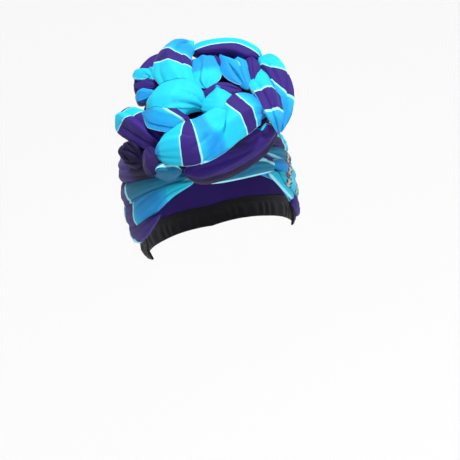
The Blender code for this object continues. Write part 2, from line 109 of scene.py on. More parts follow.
# How much wider the cloth of a fold puffs than the part's roll, before its neighbours trim it: on the side
# that the section starts from (the upper one of a roll that runs to the wearer's left), and on the other
PLAIN_FULLNESS = (1.1, 1.1)
FULLNESS = {
    "front_roll": (1.5, 1.0), "inner_lip": (1.5, 1.2), "lobe_left": (1.1, 1.4), "lobe_right": (1.4, 1.3),
    "left_roll": (1.16, 1.16), "front_under": (1.35, 1.3), "front_hem": (1.0, 1.5),
    "roll_tail": (1.25, 1.25), "pleat_1": (1.35, 1.3), "pleat_2": (1.3, 1.3), "pleat_3": (1.25, 1.25),
    "pleat_4": (1.3, 1.3),
    "pleat_5": (1.3, 1.3), "pleat_back": (1.5, 1.6), "back_roll": (1.1, 1.45),
}

# A band's route is (degrees round from the brow, height as a share of the crown's, width as a share of
# BAND_WIDTH). A crease is (place across the band from -1 to 1, depth in mm, width in the same measure).
Band = namedtuple("Band", "name route thickness slot creases")
BANDS = (
    Band(
        "brow_tuck",
        ((-15, 0.588, 0.2), (0, 0.565, 0.35), (18, 0.565, 0.6), (34, 0.56, 0.8), (50, 0.51, 0.55)),
        0.9, AZURE, ((0.25, 1.4, 0.22), (-0.35, 1.0, 0.18)),
    ),
    Band(
        "temple_fold",
        ((43, 0.485, 0.25), (51, 0.41, 0.5), (59, 0.32, 0.5), (66, 0.24, 0.3)),
        0.55, AZURE, ((0.0, 0.5, 0.2),),
    ),
    Band(
        "temple_tuck",
        ((64, 0.235, 0.35), (70, 0.185, 0.6), (77, 0.125, 0.6), (84, 0.07, 0.4)),
        0.9, PURPLE, ((0.3, 1.0, 0.2), (-0.3, 1.0, 0.2)),
    ),
    Band(
        "wrap_crest",
        (
            (-22, 0.66, 0.4), (-48, 0.655, 0.8), (-75, 0.63, 1.05), (-95, 0.6, 1.15),
            (-130, 0.57, 1.15), (-180, 0.56, 1.2), (-230, 0.55, 1.15), (-262, 0.53, 1.1),
            (-280, 0.555, 0.95), (-300, 0.63, 0.7), (-318, 0.68, 0.4),
        ),
        1.5, PURPLE, ((0.45, 1.8, 0.14), (-0.05, 2.2, 0.16), (-0.5, 1.6, 0.12)),
    ),
    Band(
        "wrap_upper",
        (
            (-10, 0.61, 0.3), (-28, 0.6, 0.55), (-46, 0.565, 0.75), (-70, 0.49, 0.95),
            (-92, 0.44, 1.0), (-130, 0.4, 1.15), (-180, 0.38, 1.2), (-230, 0.39, 1.1),
            (-264, 0.41, 0.9), (-282, 0.46, 0.75), (-297, 0.545, 0.65), (-312, 0.6, 0.4),
        ),
        1.0, AZURE, ((0.55, 1.6, 0.1), (-0.45, 0.7, 0.2)),
    ),
    Band(
        "wrap_middle",
        (
            (-12, 0.575, 0.25), (-28, 0.55, 0.55), (-45, 0.485, 0.95), (-66, 0.375, 1.1),
            (-90, 0.3, 1.05), (-130, 0.25, 1.1), (-180, 0.22, 1.2), (-230, 0.25, 1.1),
            (-262, 0.29, 0.9), (-282, 0.355, 0.8), (-298, 0.45, 0.65), (-312, 0.53, 0.4),
        ),
        1.0, AZURE, ((0.6, 1.2, 0.12), (-0.4, 0.8, 0.15)),
    ),
    Band(
        "wrap_lower",
        (
            (-40, 0.405, 0.2), (-50, 0.345, 0.45), (-64, 0.265, 0.7), (-85, 0.19, 0.8),
            (-130, 0.12, 0.9), (-180, 0.08, 1.0), (-230, 0.12, 0.9), (-262, 0.17, 0.85),
            (-280, 0.24, 0.95), (-296, 0.34, 0.85), (-311, 0.45, 0.5),
        ),
        1.0, AZURE, ((0.5, 1.4, 0.12), (-0.35, 1.0, 0.2)),
    ),
)
BAND_NAMES = {band.name for band in BANDS}

# Lower edges of the cap and the elastic, as degrees round from the brow and shares of the crown's height, and
# the coil's half section, as height and radius in shares of the rosette's
RIM = (
    (-180, 0.055), (-130, 0.1), (-90, 0.16), (-68, 0.19), (-58, 0.3), (-45, 0.43), (-30, 0.52),
    (-12, 0.57), (0, 0.545), (20, 0.525), (36, 0.5), (48, 0.42), (58, 0.3), (68, 0.19), (90, 0.16),
    (130, 0.1), (180, 0.055),
)
NAPE_BAND_FROM_DEG = 66.0
NAPE_EDGE = ((66, 0.05), (90, 0.0), (130, -0.05), (180, -0.093), (230, -0.05), (270, 0.0), (294, 0.05))
COIL_PROFILE = (
    (-2.4, 0.34), (-2.16, 0.5), (-1.76, 0.6), (-1.36, 0.62), (-1.08, 0.57),
    (-0.88, 0.6), (-0.48, 0.67), (-0.12, 0.63), (0.16, 0.48), (0.24, 0.2),
)

# A fold's route, widths, depth, lean and tips are the part's. A crease is (place round the section as a
# share of a turn, drift along the length in turns, depth in mm, width as a share of a turn, from and to as
# shares of the length). A step is the same, for the edge of a layer that lies over the next one.
Crease = namedtuple("Crease", "place drift depth width start stop", defaults=(0.0, 1.0))
Fold = namedtuple("Fold", "name route widths depth lean tips slot creases steps", defaults=((),))
PLEAT_CREASE = (0.25, 0.1, 1.6, 0.03)

# How a fold's face is folded: how flat its two sides are, where the ridge between them starts and ends
# across the fold (-1 to 1), how pointed its first and last tips are, and how sharp its two long edges are.
Facing = namedtuple("Facing", "flat ridge_from ridge_to points edge")
PLAIN_FACING = Facing(0.75, 0.1, -0.1, (1.3, 1.3), 1.3)
FACINGS = {
    "front_roll": Facing(0.65, 0.5, -0.1, (1.2, 1.0), 1.15),
    "front_under": Facing(0.6, -0.2, 0.3, (1.4, 0.0), 1.2),
    "lobe_left": Facing(0.45, -0.35, -0.2, (1.0, 2.0), 1.0),
    "lobe_top": Facing(0.55, -0.4, 0.2, (1.8, 1.2), 1.15),
    "lobe_right": Facing(0.25, -0.3, -0.1, (1.0, 1.2), 1.1),
    "inner_lip": Facing(0.85, 0.5, 0.3, (1.6, 1.8), 1.4),
    "left_roll": Facing(0.7, 0.3, -0.2, (0.7, 1.0), 1.3),
    "left_gather": Facing(0.3, 0.0, 0.0, (0.8, 1.0), 1.0),
    "roll_tail": Facing(0.9, 0.5, -0.3, (0.4, 1.2), 1.6),
    "front_hem": Facing(0.9, 0.6, 0.1, (0.6, 1.8), 1.5),
    "pleat_1": Facing(0.9, 0.5, -0.5, (0.4, 1.6), 1.6),
    "pleat_2": Facing(0.8, 0.4, 0.1, (1.0, 1.2), 1.4),
    "pleat_3": Facing(0.9, -0.3, 0.3, (2.0, 1.0), 1.5),
    "pleat_4": Facing(0.85, 0.2, -0.3, (1.5, 1.0), 1.5),
    "pleat_5": Facing(0.85, 0.3, -0.2, (1.2, 1.0), 1.5),
    "right_inner": Facing(0.8, 0.4, -0.3, (2.0, 1.2), 1.3),
    "right_outer": Facing(0.75, -0.2, 0.4, (1.0, 1.4), 1.2),
    "back_roll": Facing(0.5, 0.2, -0.2, (0.8, 0.8), 1.0),
    "left_back": Facing(0.7, -0.3, 0.3, (1.0, 1.2), 1.2),
    "left_pleat_1": Facing(0.95, 0.3, -0.2, (2.4, 1.0), 1.8),
    "left_pleat_3": Facing(0.95, 0.3, -0.3, (2.4, 1.0), 1.8),
    "left_pleat_4": Facing(0.95, -0.4, 0.3, (2.4, 1.0), 1.8),
}
FOLDS = (
    Fold("inner_lip",
        ((-0.65, -0.02, 0.12), (-0.52, -0.24, 0.2), (-0.38, -0.36, 0.21), (-0.17, -0.4, 0.12)),
        (0.08, 0.22, 0.22, 0.1), 0.75, (25, 25), (0.35, 0.25), AZURE,
        ((0.22, 0.05, 1.2, 0.05, 0.0, 0.9),), ((0.36, 0.0, 1.0, 0.12, 0.1),)),
    Fold("lobe_left",
        ((-0.57, 0.07, 0.14), (-0.43, 0.0, 0.21), (-0.26, -0.08, 0.26), (-0.12, -0.17, 0.23),
         (-0.03, -0.25, 0.14)),
        (0.26, 0.42, 0.44, 0.34, 0.14), 0.62, (10, 10), (0.25, 0.3), AZURE,
        ((0.36, -0.1, 2.2, 0.025, 0.5), (0.27, -0.16, 2.0, 0.02, 0.58),
         (0.19, -0.2, 1.6, 0.02, 0.62), (0.42, 0.05, 1.2, 0.04, 0.0, 0.5)),
        ((0.4, -0.1, 1.6, 0.1, 0.35),)),
    Fold("lobe_top",
        ((0.08, 0.92, 0.12), (-0.12, 0.72, 0.2), (-0.22, 0.48, 0.24), (-0.23, 0.22, 0.26),
         (-0.17, 0.0, 0.22), (-0.09, -0.15, 0.14)),
        (0.08, 0.34, 0.38, 0.38, 0.28, 0.12), 0.62, (10, 5), (0.12, 0.2), AZURE,
        ((0.2, -0.05, 2.2, 0.02, 0.0, 0.32), (0.36, 0.2, 1.4, 0.025, 0.45, 0.8),
         (0.28, 0.1, 1.0, 0.02, 0.7)),
        ((0.14, 0.0, 1.6, 0.1, 0.1, 0.8),)),
    Fold("lobe_right",
        ((-0.03, -0.13, 0.14), (0.11, -0.22, 0.21), (0.28, -0.18, 0.14)),
        (0.22, 0.32, 0.2), 0.62, (0, 0), (0.3, 0.3), AZURE,
        ((0.3, 0.1, 1.3, 0.02, 0.0, 0.45), (0.22, 0.05, 1.1, 0.02, 0.0, 0.4),
         (0.15, 0.0, 1.0, 0.02, 0.0, 0.35))),
    Fold("front_roll",
        ((-0.62, -0.53, 0.0), (-0.5, -0.59, 0.05), (-0.36, -0.65, 0.09), (-0.21, -0.69, 0.12),
         (-0.04, -0.65, 0.13), (0.14, -0.56, 0.14), (0.33, -0.44, 0.13), (0.45, -0.38, 0.1),
         (0.54, -0.38, 0.03)),
        (0.18, 0.3, 0.37, 0.38, 0.36, 0.34, 0.36, 0.32, 0.2), 0.72, (30, 30), (0.1, 0.12), AZURE,
        ((0.13, 0.0, 4.0, 0.02, 0.42, 0.7), (0.2, -0.45, 3.0, 0.03, 0.34, 0.72),
         (0.24, 0.3, 2.6, 0.03, 0.0, 0.42), (0.3, -0.55, 1.2, 0.03, 0.8)),
        ((0.334, -1.16, 3.6, -0.22, 0.36, 0.8), (0.06, 0.05, 1.5, 0.1, 0.38, 0.75))),
    Fold("front_under",
        ((-0.39, -0.69, -0.19), (-0.17, -0.69, -0.22), (0.07, -0.65, -0.22), (0.3, -0.58, -0.2),
         (0.49, -0.52, -0.14), (0.58, -0.49, -0.05)),
        (0.18, 0.26, 0.28, 0.28, 0.26, 0.18), 0.8, (75, 70), (0.15, 0.15), PURPLE,
        ((0.2, 0.08, 2.0, 0.05, 0.1, 0.9), (0.34, 0.05, 1.8, 0.05, 0.2)),
        ((0.1, 0.05, 1.4, 0.1),)),
    Fold("left_roll",
        ((-0.91, 0.16, -0.06), (-0.81, 0.05, -0.02), (-0.68, -0.13, 0.01), (-0.57, -0.31, 0.01),
         (-0.5, -0.4, 0.0)),
        (0.24, 0.3, 0.32, 0.3, 0.22), 0.8, (50, 30), (0.18, 0.2), PURPLE,
        ((0.18, 0.14, 2.6, 0.03, 0.1), (0.34, 0.05, 2.2, 0.03, 0.2))),
    Fold("left_gather",
        ((-0.89, -0.1, -0.17), (-0.86, -0.19, -0.21), (-0.77, -0.34, -0.23)),
        (0.24, 0.3, 0.24), 0.9, (80, 70), (0.25, 0.25), PURPLE,
        ((0.06, 0.1, 3.0, 0.02), (0.14, -0.05, 3.4, 0.02),
         (0.23, 0.08, 3.0, 0.02), (0.31, -0.06, 3.4, 0.02),
         (0.4, 0.05, 3.0, 0.02))),
    Fold("roll_tail",
        ((-0.69, -0.41, -0.02), (-0.69, -0.53, -0.06), (-0.68, -0.71, -0.11)),
        (0.14, 0.2, 0.14), 0.8, (60, 60), (0.25, 0.3), PURPLE,
        ((0.25, 0.1, 1.2, 0.06),)),
    Fold("front_hem",
        ((-0.66, -0.69, -0.07), (-0.55, -0.68, -0.11), (-0.41, -0.71, -0.14)),
        (0.14, 0.2, 0.14), 0.8, (80, 80), (0.25, 0.3), AZURE,
        ((0.2, 0.1, 1.8, 0.03),)),
    Fold("pleat_1",
        ((0.06, 0.6, 0.12), (0.08, 0.34, 0.17), (0.04, 0.06, 0.16)),
        (0.26, 0.28, 0.2), 0.5, (0, 0), (0.12, 0.25), AZURE,
        ((0.3, 0.18, 2.2, 0.03, 0.1), (0.2, -0.08, 1.4, 0.03, 0.0, 0.7)),
        ((0.1, 0.0, 0.9, 0.15),)),
    Fold("pleat_2",
        ((0.22, 0.6, 0.09), (0.23, 0.38, 0.14), (0.26, 0.18, 0.14)),
        (0.12, 0.13, 0.1), 0.9, (0, 0), (0.15, 0.25), PURPLE,
        ((0.25, 0.0, 0.8, 0.06, 0.3),)),
    Fold("pleat_3",
        ((0.3, 0.63, 0.09), (0.33, 0.31, 0.17), (0.41, 0.0, 0.15)),
        (0.06, 0.2, 0.14), 0.9, (0, 0), (0.3, 0.3), AZURE,
        ((0.25, 0.1, 2.6, 0.03, 0.1),)),
    Fold("pleat_4",
        ((0.46, 0.53, 0.07), (0.44, 0.2, 0.15), (0.45, -0.08, 0.13)),
        (0.12, 0.17, 0.12), 0.9, (0, 0), (0.2, 0.3), AZURE,
        ((0.25, 0.08, 2.2, 0.03, 0.1),)),
    Fold("pleat_5",
        ((0.59, 0.52, 0.05), (0.55, 0.18, 0.14), (0.5, -0.12, 0.12)),
        (0.12, 0.15, 0.11), 0.9, (10, 5), (0.2, 0.3), PURPLE,
        ((0.25, 0.08, 2.2, 0.03, 0.1),)),
    Fold("pleat_back",
        ((-0.06, -0.04, 0.12), (0.16, 0.03, 0.14), (0.38, -0.04, 0.11)),
        (0.12, 0.14, 0.1), 0.9, (0, 0), (0.3, 0.3), PURPLE, (PLEAT_CREASE,)),
    Fold("right_inner",
        ((0.63, 0.34, 0.05), (0.59, -0.0, 0.1), (0.61, -0.28, 0.12), (0.61, -0.5, 0.08),
         (0.6, -0.64, -0.03)),
        (0.12, 0.27, 0.28, 0.22, 0.1), 0.85, (15, 40), (0.2, 0.25), AZURE,
        ((0.24, 0.16, 2.6, 0.03, 0.1, 0.8), (0.36, 0.0, 2.0, 0.03, 0.4))),
    Fold("right_outer",
        ((0.72, 0.52, 0.0), (0.78, 0.32, 0.02), (0.81, 0.09, 0.02), (0.79, -0.15, 0.0),
         (0.74, -0.32, -0.06), (0.65, -0.5, -0.14)),
        (0.2, 0.3, 0.31, 0.27, 0.2, 0.1), 0.9, (40, 60), (0.15, 0.25), AZURE,
        ((0.26, 0.22, 2.8, 0.03, 0.1, 0.9), (0.38, -0.12, 2.2, 0.03, 0.2)),
        ((0.14, 0.0, 1.0, 0.1, 0.2, 0.9),)),
    Fold("back_roll",
        ((0.03, 0.87, 0.02), (0.27, 0.82, 0.03), (0.51, 0.72, 0.02), (0.71, 0.53, -0.03)),
        (0.2, 0.26, 0.29, 0.28), 0.95, (30, 45), (0.18, 0.18), PURPLE,
        ((0.12, 0.06, 1.5, 0.06), (0.3, 0.0, 1.2, 0.05, 0.3))),
    Fold("left_back",
        ((-0.19, 0.85, 0.02), (-0.35, 0.85, -0.02), (-0.48, 0.74, -0.06), (-0.57, 0.58, -0.1),
         (-0.58, 0.39, -0.13)),
        (0.18, 0.27, 0.3, 0.3, 0.22), 0.95, (35, 60), (0.15, 0.18), PURPLE,
        ((0.2, 0.08, 1.6, 0.06), (0.36, 0.0, 1.4, 0.05, 0.1))),
    Fold("left_pleat_1",
        ((-0.64, 0.69, 0.04), (-0.56, 0.63, 0.09), (-0.47, 0.51, 0.12)),
        (0.14, 0.18, 0.14), 0.85, (30, 20), (0.25, 0.3), AZURE, (PLEAT_CREASE,)),
    Fold("left_pleat_2",
        ((-0.65, 0.59, 0.0), (-0.52, 0.47, 0.06), (-0.38, 0.34, 0.12)),
        (0.12, 0.16, 0.14), 0.85, (30, 20), (0.25, 0.3), PURPLE, (PLEAT_CREASE,)),
    Fold("left_pleat_3",
        ((-0.67, 0.41, -0.02), (-0.59, 0.36, 0.03), (-0.49, 0.28, 0.08)),
        (0.14, 0.2, 0.14), 0.85, (30, 20), (0.25, 0.3), AZURE, (PLEAT_CREASE,)),
    Fold("left_pleat_4",
        ((-0.44, 0.73, 0.06), (-0.4, 0.53, 0.11), (-0.3, 0.34, 0.15)),
        (0.12, 0.2, 0.14), 0.8, (20, 10), (0.25, 0.3), AZURE,
        ((0.25, 0.0, 1.0, 0.07),)),
)
# Pieces whose azure is darkened as painted shade under the rosette, and the rosette's smooth middle and its
# pleats
SHADE_PAINTED_PIECES = ("wrap_upper", "brow_tuck", "front_hem")
LOBES = ("inner_lip", "lobe_left", "lobe_top", "lobe_right")
PLEATS = tuple(fold.name for fold in FOLDS if "pleat" in fold.name)

# How the print lies on a piece, in mm: the print's place at the piece's start, its rate along the piece and
# round it, and where along the piece the belt of dashes crosses it. A cross band lies at 0 and at each
# multiple of the pace; places from 4 to 27 mm after one are the deep part of the ground, which on the purple
# ground is near-black painted shade. A painted highlight, a pale line, lies along the long edge on the side
# that the section starts from (1), the other side (-1), or both (0).
Print = namedtuple("Print", "start along round hem belt", defaults=(None, None))
PLAIN_PRINT = Print(-20, 0.1, 0.1)
BELT_PACE, PRINT_PACE, PRINT_BAND_WIDTH = 0.026, 0.062, 0.014

# The print's fine parts, and the pale line along a piece's long edge, which is a painted highlight. A fade is
# where a part has just begun to show and where it shows fully.
BAND_FADE = (0.0002, -0.0002)
LINE_OFF_BAND, LINE_FADE = 0.0007, (0.0009, 0.0005)
EDGE_HIGHLIGHT_FADE = (1.3, 0.7)
DEEP_RISE, DEEP_FALL, DEEP_SHARE = (0.002, 0.018), (0.034, 0.026), 0.85
PATCH_PACE, PATCH_FADE = 0.0028, (0.0042, 0.0034)
DASH_PACE, DASH_SLANT, DASH_FADE = 0.0036, 0.6, (0.30, 0.20)
DASHES_OFF_BELT, DASHES_FADE = 0.0040, (0.0024, 0.0018)
PRINT_WANDER, DEEP_WANDER, PATCH_WANDER = 0.0022, 0.020, 0.006

# Width of the painted highlight, a pale line along a piece's long edge
EDGE_HIGHLIGHT_WIDTH = 0.0012
PRINTS = {
    "front_roll": Print(-40, 1.16, 0.12, -1),
    "lobe_top": Print(37.5, -0.8, -0.5, -1),
    "lobe_left": Print(-22, 0.05, 0.05, -1),
    "lobe_right": Print(-18, 0.05, 0.1),
    "inner_lip": Print(20.5, -0.25, 1.0, -1),
    "left_roll": Print(8, -1.0, -0.8, 1),
    "roll_tail": Print(9, 0.2, 0.0),
    "front_hem": Print(12, 0.0, 0.6, 1),
    "right_inner": Print(-36.5, 0.64, 0.0, -1),
    "right_outer": Print(-30, 0.6, 0.5),
    "pleat_1": Print(14, 0.6, 0.2, 0),
    "pleat_3": Print(16, 0.0, 0.9, 0),
    "pleat_4": Print(14, 0.1, 0.8, 0),
    "left_pleat_1": Print(-20, 0.0, 0.5, 0),
    "left_pleat_3": Print(16, 0.0, 0.6, 1),
    "left_pleat_4": Print(-20, 0.4, 0.4, 0),
    "back_roll": Print(0.5, 0.0, -1.0),
    # The left gather and the coil base lie in the purple ground's deep part: near-black painted shade
    "left_gather": Print(19, 0.0, 0.1),
    "front_under": Print(35, 0.0, -0.9),
    "coil_base": Print(11.5, 0.0, 0.0),
    "brow_tuck": Print(-16, 0.1, 0.5, -1),
    "temple_fold": Print(-20, 0.0, 0.2, 0),
    "wrap_crest": Print(12, 0.311, 0.3),
    "wrap_upper": Print(-33.5, 0.3, 0.2, 1, 421),
    "wrap_middle": Print(42, -0.45, 0.3, -1, 443),
    "wrap_lower": Print(0, 0.1, 0.2, belt=418),
}


def size_settings():
    return bpy.context.scene.headwrap_sizes


def colour_settings():
    return bpy.context.scene.headwrap_colours


def unit(vectors):
    return vectors / np.linalg.norm(vectors, axis=-1, keepdims=True)


def run_along(points):
    """Length of a path from its start to each of its points."""
    return np.concatenate([[0], np.cumsum(np.linalg.norm(np.diff(points, axis=0), axis=1))])


def full_turn(sides, closed=False):
    """Angles of a full turn in even steps, with the first one again at the end where it is closed."""
    turn = np.linspace(0, 2 * math.pi, sides, endpoint=False)
    return np.concatenate([turn, [2 * math.pi]]) if closed else turn


def cloth_grid(along, around):
    """The cloth's own metres on a grid, from one row of each."""
    return np.broadcast_arrays(along[:, None], around[None, :])


def smooth_samples(points, shares):
    """Points on a Catmull-Rom curve through the given points, at shares of its length from 0 to 1."""
    knots = np.array(points, float)
    ends = np.vstack([2 * knots[0] - knots[1], knots, 2 * knots[-1] - knots[-2]])
    spans = len(knots) - 1

    def at(where):
        span = np.clip(np.floor(where).astype(int), 0, spans - 1)
        t = (where - span)[:, None]
        a, b, c, d = (ends[span + k] for k in range(4))
        bend = 2 * a - 5 * b + 4 * c - d
        twist = 3 * b - a - 3 * c + d
        return (2 * b + (c - a) * t + bend * t**2 + twist * t**3) / 2

    fine = np.linspace(0, spans, 60 * spans + 1)
    length = run_along(at(fine)[:, :3])
    return at(np.interp(np.asarray(shares) * length[-1], length, fine))


def crown_axes(above, out=0.0):
    """Half sizes of the crown's outer face, grown outwards: across, front to back, and up or down."""
    across = HEAD_HALF_BREADTH + CLOTH_WALL + out
    along = HEAD_HALF_LENGTH + CLOTH_WALL + out
    upper = CROWN_HEIGHT - WIDEST_HEIGHT + CLOTH_WALL + out
    return across, along, np.where(above, upper, TAPER_DEPTH)


def crown_point(round_rad, height, out=0.0):
    """A point of the crown's ellipsoid: angle round from the brow, height, and distance grown outwards."""
    round_rad, height = np.broadcast_arrays(round_rad, height)
    across, along, up = crown_axes(height > WIDEST_HEIGHT, out)
    rise = np.clip((height - WIDEST_HEIGHT) / up, -1, 1)
    girth = np.sqrt(1 - rise**2)
    right = across * girth * np.sin(round_rad)
    back = -along * girth * np.cos(round_rad)
    return np.stack([right, back, WIDEST_HEIGHT + up * rise], axis=-1)


def press_on_crown(points, out):
    """The points moved to the crown's outer face along rays from the hollow's middle, then off it by out."""
    middle = np.array([0.0, 0.0, WIDEST_HEIGHT])
    ray = points - middle
    axes = np.stack(np.broadcast_arrays(*crown_axes(ray[..., 2] > 0)), axis=-1)
    foot = ray / np.linalg.norm(ray / axes, axis=-1, keepdims=True)
    return middle + foot + unit(foot / axes**2) * np.asarray(out)[..., None]


def rosette_axes():
    """The rosette's centre and its right, back and outward directions."""
    lean = math.radians(ROSETTE_LEAN_DEG)
    right = np.array([1.0, 0.0, 0.0])
    back = np.array([0.0, math.cos(lean), math.sin(lean)])
    outward = np.cross(right, back)
    rise = (CROWN_HEIGHT - WIDEST_HEIGHT + CLOTH_WALL) * math.sin(math.radians(ROSETTE_SEAT_CLIMB_DEG))
    seat = crown_point(math.radians(ROSETTE_SEAT_ROUND_DEG), WIDEST_HEIGHT + rise)
    return seat + outward * ROSETTE_LIFT, right, back, outward


def end_profile(shares, tips, points=(1.0, 1.0)):
    """1 along the middle, falling to TIP_SIZE_SHARE over each tip as a quarter circle to the power of its
    point."""
    start = np.clip(shares / tips[0], 0, 1)
    stop = np.clip((1 - shares) / tips[1], 0, 1)
    profile = (1 - (1 - start) ** 2) ** (points[0] / 2) * (1 - (1 - stop) ** 2) ** (points[1] / 2)
    return TIP_SIZE_SHARE + (1 - TIP_SIZE_SHARE) * profile


def window(shares, start, stop, soft=0.12):
    """0 outside start..stop, 1 inside, with smooth ramps."""
    rise = np.clip((shares - start) / soft + 0.5, 0, 1) if start > 0 else np.ones_like(shares)
    fall = np.clip((stop - shares) / soft + 0.5, 0, 1) if stop < 1 else np.ones_like(shares)
    both = rise * fall
    return both * both * (3 - 2 * both)


def fold_relief(fold, shares, turns):
    """Depth of the cloth under the roll's smooth envelope, on a grid of stations by turns.

    Creases are narrow valleys exp(-|x|) beside which the cloth stays full. Steps drop at once and climb
    back evenly over their width, on the far side of the edge, or on the near side for a negative width.
    Tension lines are valleys 1 - |sin| round the section that grow towards the pinched ends.
    """
    u = shares[:, None]
    v = turns[None, :]
    relief = np.zeros((len(shares), len(turns)))
    for crease in fold.creases:
        place, drift, depth, width, start, stop = Crease(*crease)
        off = (v - place - drift * (u - 0.5) + 0.5) % 1.0 - 0.5
        relief += depth * MM * np.exp(-np.abs(off) / width) * window(u, start, stop)
    for step in fold.steps:
        place, drift, depth, width, start, stop = Crease(*step)
        off = ((v - place - drift * (u - 0.5) + 0.5) % 1.0 - 0.5) * np.sign(width)
        ramp = np.clip(1 - off / abs(width), 0, 1) * np.clip(off / 0.012 + 0.5, 0, 1)
        relief += depth * MM * ramp * window(u, start, stop)
    rng = np.random.default_rng(1 + ORDER.index(fold.name))
    pinch = 1 - end_profile(shares, (0.45, 0.45))[:, None]
    wrinkle = np.zeros_like(relief)
    for count, size in ((5, 0.5), (8, 0.5), (13, 0.35)):
        phase, drift, along = rng.uniform(0, 1, 3)
        wave = np.abs(np.sin(np.pi * (count * v + (drift - 0.5) * 2.2 * u + phase)))
        wrinkle += size * (1 - wave) * (0.6 + 0.4 * np.sin(2 * np.pi * (along + 1.3 * u)))
    relief += size_settings().wrinkle_depth * wrinkle * (0.40 + 1.2 * pinch)
    puff = np.sin(2 * np.pi * (rng.uniform(0, 1) + 1.7 * u)) * np.sin(2 * np.pi * (v + rng.uniform(0, 1)))
    relief += PUFF_DEPTH * (0.5 + 0.5 * puff)
    return relief


def folded_face(facing, shares, angle):
    """How far out the face lies, as a share of the ellipse: two flats that meet in a soft ridge.

    The roof over x = cos(angle) is the smaller of (1 - x)/(1 - ridge) and (1 + x)/(1 + ridge), rounded
    where they meet, and it never stands out of the ellipse. sin(angle) to the edge's power less one makes
    the two long edges sharp.
    """
    x = np.cos(angle)[None, :]
    ellipse = np.maximum(np.abs(np.sin(angle)), 1e-3)[None, :]
    ridge = np.interp(shares, (0, 1), (facing.ridge_from, facing.ridge_to))[:, None]
    one, two = (1 - x) / (1 - ridge), (1 + x) / (1 + ridge)
    roof = -np.log(np.exp(-30 * one) + np.exp(-30 * two)) / 30
    share = np.minimum(np.clip(roof, 0, 1) / ellipse, 1)
    front = np.sin(angle)[None, :] > 0
    return np.where(front, (1 - facing.flat * (1 - share)) * ellipse ** (facing.edge - 1), 1.0)


def fold_surface(fold, stations, sides, grow=0.0):
    """(points, along, around) of a wound roll.

    An ellipse is carried along the fold's route, its face turned by the lean. The relief pulls each point
    straight towards the roll's middle. along and around are the cloth's own metres on the surface.
    """
    centre, right, back, outward = rosette_axes()
    shares = np.linspace(0, 1, stations)
    local = smooth_samples(fold.route, shares) * ROSETTE_RADIUS
    spine = centre + local[:, :1] * right + local[:, 1:2] * back + local[:, 2:] * outward
    tangent = unit(np.gradient(spine, axis=0))
    radial = unit(local[:, :1] * right + local[:, 1:2] * back)
    lean = np.radians(np.interp(shares, (0, 1), fold.lean))[:, None]
    face = np.cos(lean) * outward + np.sin(lean) * radial
    face = unit(face - (face * tangent).sum(1, keepdims=True) * tangent)
    across = np.cross(face, tangent)
    knots = np.linspace(0, 1, len(fold.widths))
    full = np.interp(shares, knots, fold.widths) * ROSETTE_RADIUS / 2
    facing = FACINGS.get(fold.name, PLAIN_FACING)
    half = full * end_profile(shares, fold.tips, facing.points)
    turns = np.linspace(0, 1, sides, endpoint=False)
    angle = 2 * np.pi * turns
    fuller = np.where(np.cos(angle) > 0, *FULLNESS.get(fold.name, PLAIN_FULLNESS))
    wide = half[:, None] * np.cos(angle) * fuller
    deep = (half * fold.depth)[:, None] * np.sin(angle) * folded_face(facing, shares, angle)
    depth = fold_relief(fold, shares, turns) * np.clip(half / 0.006, 0.15, 1)[:, None]
    keep = 1 - np.clip(depth / np.hypot(wide, deep), 0, 0.5)
    wide = wide * keep + grow * np.cos(angle)
    deep = deep * keep + grow * np.sin(angle)
    points = spine[:, None, :] + wide[..., None] * across[:, None, :] + deep[..., None] * face[:, None, :]
    if grow:
        points[0] -= tangent[0] * grow
        points[-1] += tangent[-1] * grow
    length = run_along(spine)
    girth = 2 * np.pi * np.sqrt((full**2 + (full * fold.depth) ** 2) / 2)
    around = (np.append(turns, 1.0) - 0.25) * girth[:, None]
    return points, np.broadcast_to(length[:, None], around.shape), around


def band_surface(band, stations, tops, feet, grow=0.0, relief=True, seed=0):
    """(points, along, around) of a band wound on the crown.

    The section is a crowned top, sqrt(1 - |s|^2.2) across the band, over a foot just clear of the crown.
    The band's creases wander across it as slow sines of the length.
    """
    route = np.array(band.route, float)
    shares = np.linspace(0, 1, stations)
    turns = smooth_samples(route * (math.radians(1.0), 1.0, 1.0), shares)
    spine = crown_point(turns[:, 0], turns[:, 1] * CROWN_HEIGHT)
    normal = unit(press_on_crown(spine, np.full(stations, 1.0)) - spine)
    across = unit(np.cross(normal, unit(np.gradient(spine, axis=0))))
    ends = end_profile(shares, (0.06, 0.06))
    half = turns[:, 2] * BAND_WIDTH / 2 * ends + grow
    over = np.cos(np.linspace(0, math.pi, tops))
    crowned = np.sqrt(np.clip(1 - np.abs(over) ** 2.2, 0, 1))
    height = BAND_LIP + band.thickness * BAND_THICKNESS * crowned[None, :] * np.ones((stations, 1))
    if relief:
        height -= band_relief(band, shares, over, seed) * crowned[None, :]
        height = np.maximum(height, BAND_LIP)
    rise = np.where(np.abs(over) < 1, grow, 0.0)
    out = BAND_FOOT + height * ends[:, None] + rise
    under = np.linspace(-0.8, 0.8, feet)
    places = np.concatenate([over, under])
    lift = np.concatenate([out, np.full((stations, feet), BAND_FOOT - grow)], axis=1)
    points = spine[:, None, :] + across[:, None, :] * (half[:, None] * places)[..., None]
    points = press_on_crown(points, lift)
    length = run_along(spine)
    around = np.concatenate([places, places[:1]])[None, :] * half[:, None]
    return points, np.broadcast_to(length[:, None], around.shape), around


